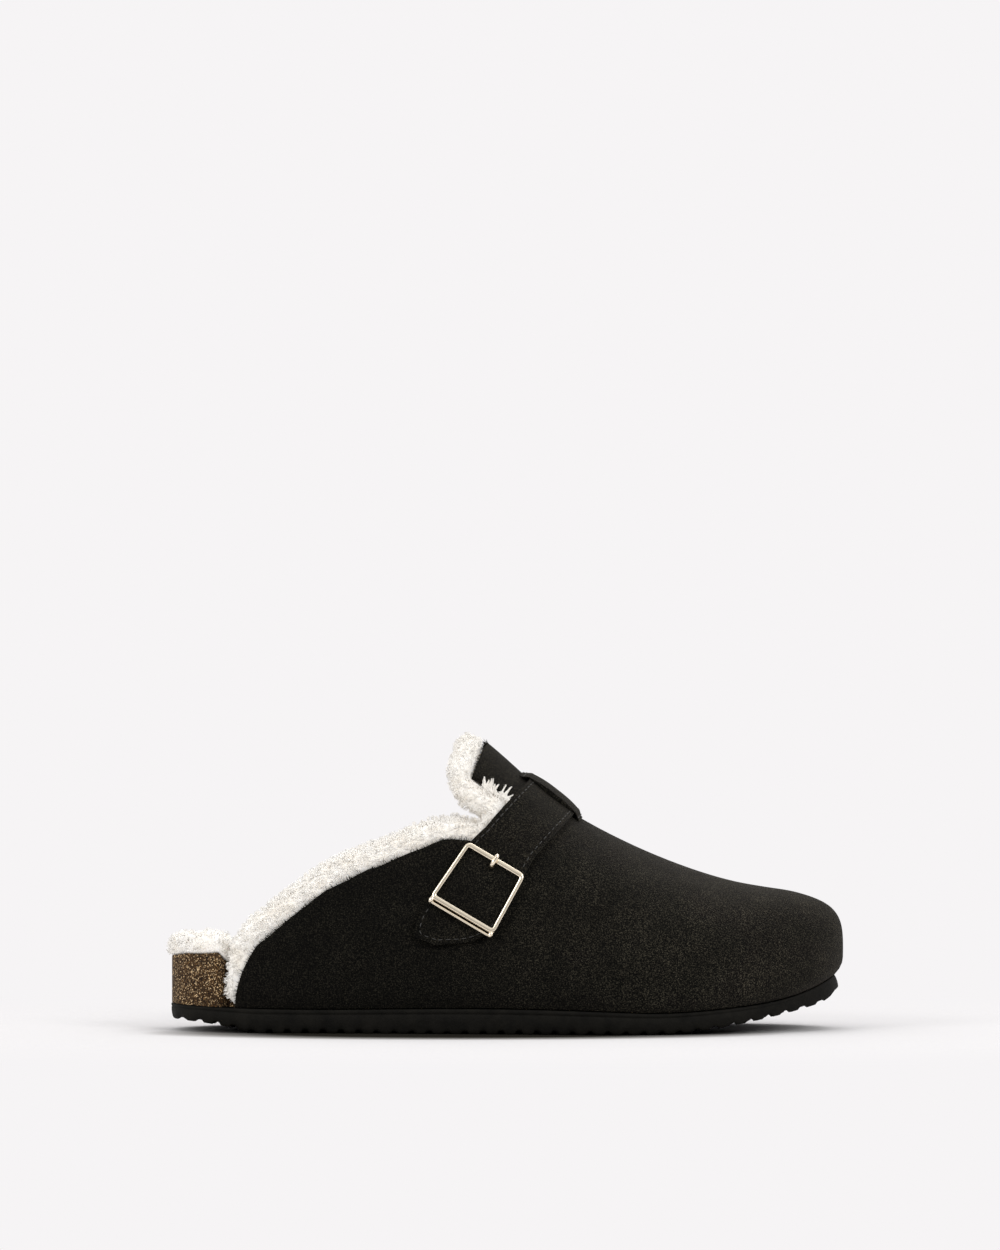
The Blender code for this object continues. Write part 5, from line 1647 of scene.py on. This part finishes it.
def keeper_run(side, count):
    """Rises of the keeper's rows on one side, from its edge up to the ridge."""
    run = np.linspace(0.5, 1.0, 200)
    points = last_point(on_strap(np.zeros(200), run, side), run, side)
    reach = np.linalg.norm(np.diff(points, axis=0), axis=1)[::-1].cumsum()[::-1]
    start = float(np.interp(-KEEPER_WIDTH / 2, -reach, run[:-1]))
    return np.linspace(start, 1.0, count)


def keeper_height(across):
    """Height of the keeper's underside over the last, across the strap."""
    half, end = STRAP_WIDTH / 2 + CLEARANCE, KEEPER_LENGTH / 2
    fall = np.clip((end - np.abs(across)) / (end - half), 0, 1)
    return CLEARANCE + eased(fall) * (STRAP_THICKNESS + CLEARANCE)


def keeper_thickness(across):
    """Thickness of the padded keeper: thin where it is sewn down, full over the middle of the strap."""
    dome = np.clip(1 - (np.abs(across) / (STRAP_WIDTH / 2)) ** 2.4, 0, 1)
    return KEEPER_THICKNESS * (KEEPER_THIN + (KEEPER_CROWN - KEEPER_THIN) * dome)


def build_keeper():
    """The keeper as a closed suede patch."""
    across = np.linspace(-KEEPER_LENGTH / 2, KEEPER_LENGTH / 2, 49)
    rows = [(LATERAL, rise) for rise in keeper_run(LATERAL, 20)]
    rows += [(MEDIAL, rise) for rise in keeper_run(MEDIAL, 20)[::-1][1:]]
    outer, inner = [], []
    for side, rise in rows:
        inner.append(lifted(across, rise, side, keeper_height(across)))
        outer.append(lifted(across, rise, side, keeper_height(across) + keeper_thickness(across)))
    piece = new_piece("suede_keeper", *sheet_arrays(np.array(outer), np.array(inner)), strap_suede)
    soften(piece, 0.0005, angle=50)
    return piece


keeper = build_keeper()
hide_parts("strap_keeper")
print("keeper triangles:", triangles(keeper))

# %% [markdown]
# ## The buckle
#
# The frame is a bent rod of pale gold, flattened on its face, a little wider at its bottom. A second thin
# bar runs below the bottom bar and ends in small lugs. It is drawn as a tube along a rounded outline, with
# a section that is nearly square but has soft shoulders, so that highlights run along it as two fine lines.

# %% Build the frame
def frame_outline(corner_steps=10, straight_steps=6):
    """Points along the buckle's outer edge, their outward directions and the bar's width there."""
    top, bottom, high = BUCKLE_TOP_WIDTH / 2, BUCKLE_BOTTOM_WIDTH / 2, BUCKLE_HEIGHT / 2
    corners = ((top, high, 0), (-top, high, 90), (-bottom, -high, 180), (bottom, -high, 270))
    path = []
    for x, y, turn in corners:
        centre = np.array([x - math.copysign(BUCKLE_CORNER, x), y - math.copysign(BUCKLE_CORNER, y)])
        for step in range(corner_steps + 1):
            angle = math.radians(turn + 90 * step / corner_steps)
            out = np.array([math.cos(angle), math.sin(angle)])
            path.append((centre + out * BUCKLE_CORNER, out))
    full = []
    for (a, out_a), (b, out_b) in zip(path, path[1:] + path[:1]):
        long = np.linalg.norm(b - a) > 0.004
        for step in range(straight_steps if long else 1):
            share = step / straight_steps if long else 0.0
            full.append((a + (b - a) * share, out_a + (out_b - out_a) * share))
    return full


def build_frame():
    """The buckle's frame, as a closed tube with soft shoulders."""
    rings = []
    turns = np.linspace(0, 2 * np.pi, 20, endpoint=False)
    for place, out in frame_outline():
        width = BUCKLE_SIDE + (BUCKLE_BAR - BUCKLE_SIDE) * abs(out[1])
        across = np.sign(np.cos(turns)) * np.abs(np.cos(turns)) ** 0.55
        over = np.sign(np.sin(turns)) * np.abs(np.sin(turns)) ** 0.70
        inward = width / 2 * (1 - across)
        rings.append(np.stack([
            place[0] - out[0] * inward,
            place[1] - out[1] * inward,
            BUCKLE_DEPTH / 2 * (1 + over),
        ], axis=-1))
    points, faces = tube_arrays(from_buckle(np.array(rings)), closed=True)
    return new_piece("buckle_frame_bars", points, faces, gold)


buckle = build_frame()
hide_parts("buckle_frame")
print("frame triangles:", triangles(buckle))

# %% [markdown]
# The second bar is a thin rod bent round the frame's lower corners. The prong is a short thick pin that
# comes up through the strap and rests on the top bar. Both are rods swept along a few chosen points.

# %% Build the second bar and the prong
FACE_OUT, SIDEWAYS = np.array([0, 0, 1.0]), np.array([1.0, 0, 0])
PathRow = namedtuple("PathRow", "at x y z")


def rod_rings(path, radius, around, beside):
    """Rings of a rod along a path; beside is a direction square to the path, or one for each point."""
    path = np.asarray(path, float)
    radius = np.broadcast_to(radius, len(path))
    ahead = unit(np.gradient(path, axis=0))
    first = unit(np.cross(beside, ahead))
    second = np.cross(ahead, first)
    turns = np.linspace(0, 2 * np.pi, around, endpoint=False)
    ring = np.cos(turns)[None, :, None] * first[:, None] + np.sin(turns)[None, :, None] * second[:, None]
    return path[:, None] + ring * radius[:, None, None]


def smooth_path(points, count):
    """A smooth run of points through a few chosen ones."""
    points = np.asarray(points, float)
    length = running_length(points)
    rows = [PathRow(at, *point) for at, point in zip(length, points)]
    at = np.linspace(0, length[-1], count)
    return np.stack([reader(rows, axis)(at) for axis in "xyz"], axis=-1)


def build_anchor():
    """The thin second bar under the frame, with a lug at each end."""
    side, low, level = BUCKLE_BOTTOM_WIDTH / 2 - BUCKLE_SIDE / 2, -BUCKLE_HEIGHT / 2, BUCKLE_DEPTH * 0.45
    bottom, bend = low - 0.54 * ANCHOR_BAR_DROP, 0.0012
    path = [(-side, low + 2 * BUCKLE_CORNER, level), (-side - 0.0002, low + 0.0004, level)]
    for step in range(1, 6):
        angle = math.radians(90 * step / 6)
        path.append((-side + bend * (1 - math.cos(angle)), bottom + bend * (1 - math.sin(angle)), level))
    path += [(x, bottom, level) for x in np.linspace(-side + bend, side - bend, 9)]
    path += [(-x, y, z) for x, y, z in path[6::-1]]
    rods = [rod_rings(path, ANCHOR_BAR_RADIUS, 14, FACE_OUT)]
    for end in (-1, 1):
        x = end * (side - 0.0001)
        stub = [(x, low + reach, level) for reach in (0.0012, 0.0006, -0.0012, -0.0018)]
        rods.append(rod_rings(stub, np.array([0.0003, 0.00115, 0.00115, 0.0003]), 14, SIDEWAYS))
    arrays = [tube_arrays(from_buckle(rod), closed=False) for rod in rods]
    piece = new_piece("buckle_second_bar", *joined(arrays), gold)
    smooth = piece.modifiers.new("Smooth", "SUBSURF")
    smooth.levels = smooth.render_levels = 1
    return piece


PRONG_REACH = 0.0013


def build_prong():
    """The prong: up through the strap and over the top bar, with a flattened blunt tip."""
    top, over = BUCKLE_HEIGHT / 2, BUCKLE_DEPTH + CLEARANCE + PRONG_RADIUS
    chosen = [
        (0, top - BUCKLE_BAR - PRONG_SETBACK, -STRAP_THICKNESS / 2),
        (0, top - BUCKLE_BAR - PRONG_SETBACK, over * 0.25),
        (0, top - BUCKLE_BAR - 0.8 * PRONG_SETBACK, over * 0.72),
        (0, top - BUCKLE_BAR - 0.2 * PRONG_SETBACK, over * 0.98),
        (0, top - BUCKLE_BAR / 2, over),
        (0, top + 0.45 * PRONG_REACH, over * 0.97),
        (0, top + PRONG_REACH, over * 0.90),
    ]
    path = smooth_path(chosen, 22)
    end = np.clip((len(path) - 1 - np.arange(len(path))) / 3, 0.0, 1.0)
    radius = PRONG_RADIUS * np.sqrt(np.clip(1 - (1 - end) ** 2, 0.02, 1))
    points, faces = tube_arrays(from_buckle(rod_rings(path, radius, 18, SIDEWAYS)), closed=False)
    return new_piece("buckle_prong_pin", points, faces, gold)


anchor, prong = build_anchor(), build_prong()
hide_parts("buckle_prong")
print("second bar and prong triangles:", triangles(anchor), triangles(prong))

# %% [markdown]
# ## Stitches
#
# Thread holds the strap's edge, the keeper's ends and the sewn end of the strap. A stitch is a short thick
# thread that dips into the suede at both ends. One small shape is repeated along each seam, standing on the
# suede and pointing along the seam, and all stitches are joined into one light mesh.

# %% Thread material and stitch shape
def waxed_thread():
    """Dark waxed thread, a little lighter and glossier than suede."""
    made, tree, shader, place = new_material("waxed thread", 0.55)
    twist = grain(tree, place, 0.0003, 2.0, 0.6)
    colour = ramp(tree, twist, ((0.3, 0.008, 0.0075, 0.0065), (0.7, 0.030, 0.028, 0.024)))
    tree.links.new(colour, shader.inputs["Base Color"])
    relief(tree, shader, ((twist, 0.0001, 0.7),))
    return made


thread = waxed_thread()
STITCH_LENGTH, STITCH_GAP, STITCH_RADIUS = 0.0021, 0.0009, 0.00020


def stitches_along(points, normals):
    """Stitches along a line of points with their surface normals; returns rings for each stitch."""
    length = running_length(points)
    pitch = STITCH_LENGTH + STITCH_GAP
    count = int(length[-1] / pitch)
    made = []
    for number in range(count):
        uneven = 0.10 * math.sin(7.3 * number) * STITCH_GAP
        at = (number + 0.5) * pitch + uneven + np.linspace(-0.5, 0.5, 6) * STITCH_LENGTH
        line = np.stack([np.interp(at, length, points[:, k]) for k in range(3)], -1)
        out = np.stack([np.interp(at, length, normals[:, k]) for k in range(3)], -1)
        arch = np.array([-1.2, 0.15, 0.55, 0.55, 0.15, -1.2])[:, None] * STITCH_RADIUS
        thick = STITCH_RADIUS * np.array([0.6, 1, 1.1, 1.1, 1, 0.6])
        made.append(rod_rings(line + out * arch, thick, 6, out))
    return made


print(f"stitch pitch {1000 * (STITCH_LENGTH + STITCH_GAP):.1f} mm")

# %% [markdown]
# The seams run round the strap's tip, along both of its edges above the buckle, across its sewn end, and
# along the keeper's two ends. None shows inside the buckle, because the frame's side bars cover the strap's
# edges there.

# %% Lay the seams
SEAM_INSET, PROBE = 0.0017, 0.001


def over_last(across, rise, side, height):
    """A point at a height over the last, and the normal there."""
    low, high = lifted(across, rise, side, height), lifted(across, rise, side, height + PROBE)
    return low, (high - low) / PROBE


def strap_seam(across_of, lengths):
    """Line and normals of a seam on the strap's face: across_of gives the distance across at each length."""
    sides, rises = strap_place(lengths)
    height = CLEARANCE + STRAP_THICKNESS
    pairs = [over_last(a, r, s, height) for a, r, s in zip(across_of, rises, sides)]
    return tuple(np.array(values) for values in zip(*pairs))


def all_seams():
    """Every seam of strap and keeper, as stitches."""
    made = []
    around = np.linspace(-1, 1, 120)
    tip = SEAM_INSET + (buckle_middle - BUCKLE_HEIGHT / 2) * np.abs(around) ** 1.6
    half, middle = strap_outline(tip - SEAM_INSET * (1 - np.abs(around)))
    out = np.minimum(np.maximum(half - SEAM_INSET, 0), 0.016 * np.abs(around) ** 0.6)
    across = middle + np.sign(around) * out
    made += stitches_along(*strap_seam(across, tip))
    upper_run = np.linspace(buckle_middle + BUCKLE_HEIGHT / 2 + 0.001, strap_length[-1] - SEAM_INSET, 150)
    for edge_side in (-1, 1):
        half, middle = strap_outline(upper_run)
        made += stitches_along(*strap_seam(middle + edge_side * (half - SEAM_INSET), upper_run))
    end = np.linspace(-1, 1, 20) * (STRAP_WIDTH / 2 - SEAM_INSET)
    for inset in (SEAM_INSET, SEAM_INSET + 0.011):
        made += stitches_along(*strap_seam(end, np.full(20, strap_length[-1] - inset)))
    for across in (-KEEPER_LENGTH / 2 + 0.0011, KEEPER_LENGTH / 2 - 0.0011):
        height = float(keeper_height(np.array(across)) + keeper_thickness(np.array(across)))
        pairs = []
        for side, rises in ((LATERAL, keeper_run(LATERAL, 16)), (MEDIAL, keeper_run(MEDIAL, 16)[::-1][1:])):
            pairs += [over_last(across, rise, side, height) for rise in rises]
        made += stitches_along(*(np.array(values) for values in zip(*pairs)))
    return made


def build_stitches():
    """All stitches as one mesh."""
    arrays = [tube_arrays(ring, closed=False) for ring in all_seams()]
    return new_piece("stitches", *joined(arrays), thread, merge=False), len(arrays)


stitches, stitch_count = build_stitches()
print("stitches:", stitch_count)

# %% [markdown]
# ## Fuzz on the cut edges
#
# Suede is cut raw at the collar and the tongue, and its fibres fray there into a dark fuzz against the
# white pile. Short hairs along the edge break up the clean line of the mesh.

# %% Fuzz
HAIRS_PER_EDGE = 800
HAIR_THICK, HAIR_CURL = 0.00009, 0.00010


def build_fuzz():
    """Short dark hairs along the collar's and the tongue's cut edges."""
    rng = np.random.default_rng(7)
    roots, normals, tips = [], [], []
    for path, reach in ((quarter_path(LATERAL), 1.0), (quarter_path(MEDIAL), 1.0), (tongue_path(), 1.4)):
        point, normal, beyond = path[:3]
        pick = rng.integers(0, len(point), HAIRS_PER_EDGE)
        depth = rng.random((HAIRS_PER_EDGE, 1)) * WALL * 0.7
        jitter = rng.normal(0, 0.0004, (HAIRS_PER_EDGE, 3))
        root = point[pick] - normal[pick] * depth - beyond[pick] * 0.0003 + jitter * 0.4
        roots.append(root)
        normals.append(beyond[pick])
        tips.append(root + beyond[pick] * rng.uniform(0.0002, 0.0010, (HAIRS_PER_EDGE, 1)) * reach + jitter)
    root, normal, tip = (np.concatenate(values) for values in (roots, normals, tips))
    points, faces = fibre_arrays(root, normal, tip, HAIR_THICK, HAIR_CURL, 9)
    return new_piece("edge_fuzz", points, faces, suede, merge=False)


fuzz = build_fuzz()
print("fuzz triangles:", triangles(fuzz))

# %% [markdown]
# ## Floor
#
# The shoe stands on a pale sweep: a floor that curves up into a wall far behind, so no horizon shows. Near
# the shoe the paper is plain and takes a soft shadow. Farther off it glows with one even tone, which is
# what a studio gets by lighting its paper with lamps of its own. The dark line where a sole meets the floor
# comes out too pale under soft lamps, so a soft oval just in front of the sole is painted darker on the
# paper.

# %% Stage
PAPER = (0.922, 0.905, 0.913)
LIT_PAPER = (0.68, 0.668, 0.672)
# The oval of painted shadow just in front of the sole: its centre, and its half length and half breadth.
PAINTED_SHADOW_CENTRE, PAINTED_SHADOW_LONG, PAINTED_SHADOW_BROAD = (-0.016, -0.030, 0.0), 0.124, 0.052
PAPER_NEAR, PAPER_FAR = 0.19, 0.42
SWEEP_HALF, SWEEP_START, SWEEP_BEND, SWEEP_TOP = 6.0, 1.2, 1.6, 5.0


def pale_paper():
    """Paper with the shoe's shadow and a painted one near by; far off it glows evenly, as if lamp-lit."""
    made, tree, shader, place = new_material("pale paper", 1.0)
    shader.inputs["Specular IOR Level"].default_value = 0.0
    away = tree.nodes.new("ShaderNodeVectorMath")
    away.operation = "LENGTH"
    squeeze = tree.nodes.new("ShaderNodeMapping")
    squeeze.inputs["Scale"].default_value = (1.0, 1.6, 1.0)
    tree.links.new(place, squeeze.inputs["Vector"])
    tree.links.new(squeeze.outputs["Vector"], away.inputs[0])
    fade = tree.nodes.new("ShaderNodeMapRange")
    fade.interpolation_type = "SMOOTHSTEP"
    fade.inputs["From Min"].default_value = PAPER_NEAR
    fade.inputs["From Max"].default_value = PAPER_FAR
    tree.links.new(away.outputs["Value"], fade.inputs["Value"])
    far = fade.outputs["Result"]
    under = tree.nodes.new("ShaderNodeMapping")
    under.vector_type = "TEXTURE"
    under.inputs["Location"].default_value = PAINTED_SHADOW_CENTRE
    under.inputs["Scale"].default_value = (PAINTED_SHADOW_LONG, PAINTED_SHADOW_BROAD, 1.0)
    tree.links.new(place, under.inputs["Vector"])
    near = tree.nodes.new("ShaderNodeVectorMath")
    near.operation = "LENGTH"
    tree.links.new(under.outputs["Vector"], near.inputs[0])
    # Painted shadow: near-black inside the oval in front of the sole, fading to the lit paper at its rim.
    shade = ramp(tree, near.outputs["Value"], (
        (0.60, 0.022, 0.020, 0.016),
        (0.80, 0.25, 0.24, 0.23),
        (1.00, *LIT_PAPER),
    ))
    tree.links.new(blended(tree, far, shade, (0.0, 0.0, 0.0)), shader.inputs["Base Color"])
    shader.inputs["Emission Color"].default_value = (*PAPER, 1.0)
    tree.links.new(far, shader.inputs["Emission Strength"])
    return made


def pale_sweep():
    """The floor with its curved wall."""
    mesh = bpy.data.meshes.new("sweep")
    profile = [(-SWEEP_HALF, 0.0), (SWEEP_START, 0.0)]
    for step in range(1, 25):
        angle = math.radians(90 * step / 24)
        ahead, up = SWEEP_BEND * math.sin(angle), SWEEP_BEND * math.cos(angle)
        profile.append((SWEEP_START + ahead, SWEEP_BEND - up))
    profile.append((SWEEP_START + SWEEP_BEND, SWEEP_TOP))
    verts = [(x, y, z) for y, z in profile for x in (-SWEEP_HALF, SWEEP_HALF)]
    quads = [(2 * i, 2 * i + 1, 2 * i + 3, 2 * i + 2) for i in range(len(profile) - 1)]
    mesh.from_pydata(verts, [], quads)
    mesh.shade_smooth()
    mesh.materials.append(pale_paper())
    floor = bpy.data.objects.new("sweep", mesh)
    bpy.context.scene.collection.objects.link(floor)
    floor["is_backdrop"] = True


pale_sweep()
print("paper glows beyond", PAPER_FAR, "m")

# %% [markdown]
# A large soft lamp above and a little behind the shoe gives the lighter top of the vamp. Two more stand in
# front, one beyond the toe and one beyond the heel, and keep the side from going black. The room is bright
# overhead and dimmer towards the horizon, so that the buckle has something dark to mirror.

# %% Light
LAMP_SIZE, ROOM_STRENGTH = 1.2, 0.86


def soft_lamp(name, place, target, energy):
    """A square area lamp aimed at a point."""
    data = bpy.data.lights.new(name, "AREA")
    data.shape = "SQUARE"
    data.size = LAMP_SIZE
    data.energy = energy
    lamp = bpy.data.objects.new(name, data)
    lamp.location = place
    lamp.rotation_euler = (Vector(target) - Vector(place)).to_track_quat("-Z", "Y").to_euler()
    bpy.context.scene.collection.objects.link(lamp)
    return lamp


def bright_room():
    """A world that is bright overhead and dimmer at the sides."""
    world = bpy.data.worlds.new("bright room")
    world.use_nodes = True
    tree = world.node_tree
    coordinates = tree.nodes.new("ShaderNodeTexCoord")
    height = tree.nodes.new("ShaderNodeSeparateXYZ")
    tree.links.new(coordinates.outputs["Generated"], height.inputs[0])
    glow = ramp(tree, height.outputs["Z"], (
        (0.0, 0.24, 0.235, 0.23),
        (0.3, 0.62, 0.615, 0.61),
        (0.7, 1.0, 1.0, 1.0),
    ))
    background = tree.nodes["Background"]
    tree.links.new(glow, background.inputs["Color"])
    background.inputs["Strength"].default_value = ROOM_STRENGTH
    return world


soft_lamp("top lamp", (0.25, 0.70, 1.6), (0, 0, 0.03), 12)
soft_lamp("toe side lamp", (1.4, -1.9, 1.3), (0.05, 0, 0.05), 26)
soft_lamp("heel side lamp", (-1.7, -1.7, 1.0), (-0.08, 0, 0.05), 22)
bpy.context.scene.world = bright_room()
print("lamps:", sum(1 for thing in bpy.data.objects if thing.type == "LIGHT"))

# %% [markdown]
# The camera is a long lens three metres away, level with the middle of the picture. Its scale is fixed by
# one figure, the millimetres that a pixel covers at the shoe, so the shoe lands where it stands in the
# picture.

# %% Camera
MM_PER_PIXEL = 0.3863
PICTURE_WIDTH, PICTURE_HEIGHT = 1000, 1250
SENSOR = 36.0
FLOOR_ROW, MIDDLE_COLUMN = 1029, 506
CAMERA_DISTANCE = 3.0
camera_data = bpy.data.cameras.new("camera")
camera_data.sensor_fit = "VERTICAL"
camera_data.sensor_width = camera_data.sensor_height = SENSOR
camera_data.lens = SENSOR * CAMERA_DISTANCE / (PICTURE_HEIGHT * MM_PER_PIXEL / 1000)
camera = bpy.data.objects.new("camera", camera_data)
camera.location = (
    (PICTURE_WIDTH / 2 - MIDDLE_COLUMN) * MM_PER_PIXEL / 1000,
    -CAMERA_DISTANCE,
    (FLOOR_ROW - PICTURE_HEIGHT / 2) * MM_PER_PIXEL / 1000,
)
camera.rotation_euler = (math.pi / 2, 0, 0)
bpy.context.scene.collection.objects.link(camera)
bpy.context.scene.camera = camera
bpy.context.scene.view_settings.view_transform = "Standard"
print(f"lens {camera_data.lens:.0f} mm at {CAMERA_DISTANCE} m")

# %% [markdown]
# ## Size and finish
#
# The dressed shoe's box is printed, to set beside the solids' box printed at the start; a little pile stands
# out of it.

# %% Sizes
dressed_box = [list(corner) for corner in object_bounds()]
shown = [piece for piece in bpy.context.scene.objects if piece.type == "MESH" and not piece.hide_render]
total = sum(triangles(piece) for piece in shown)
print("dressed box in mm:", [[round(1000 * v, 1) for v in corner] for corner in dressed_box])
print("triangles in all:", total)
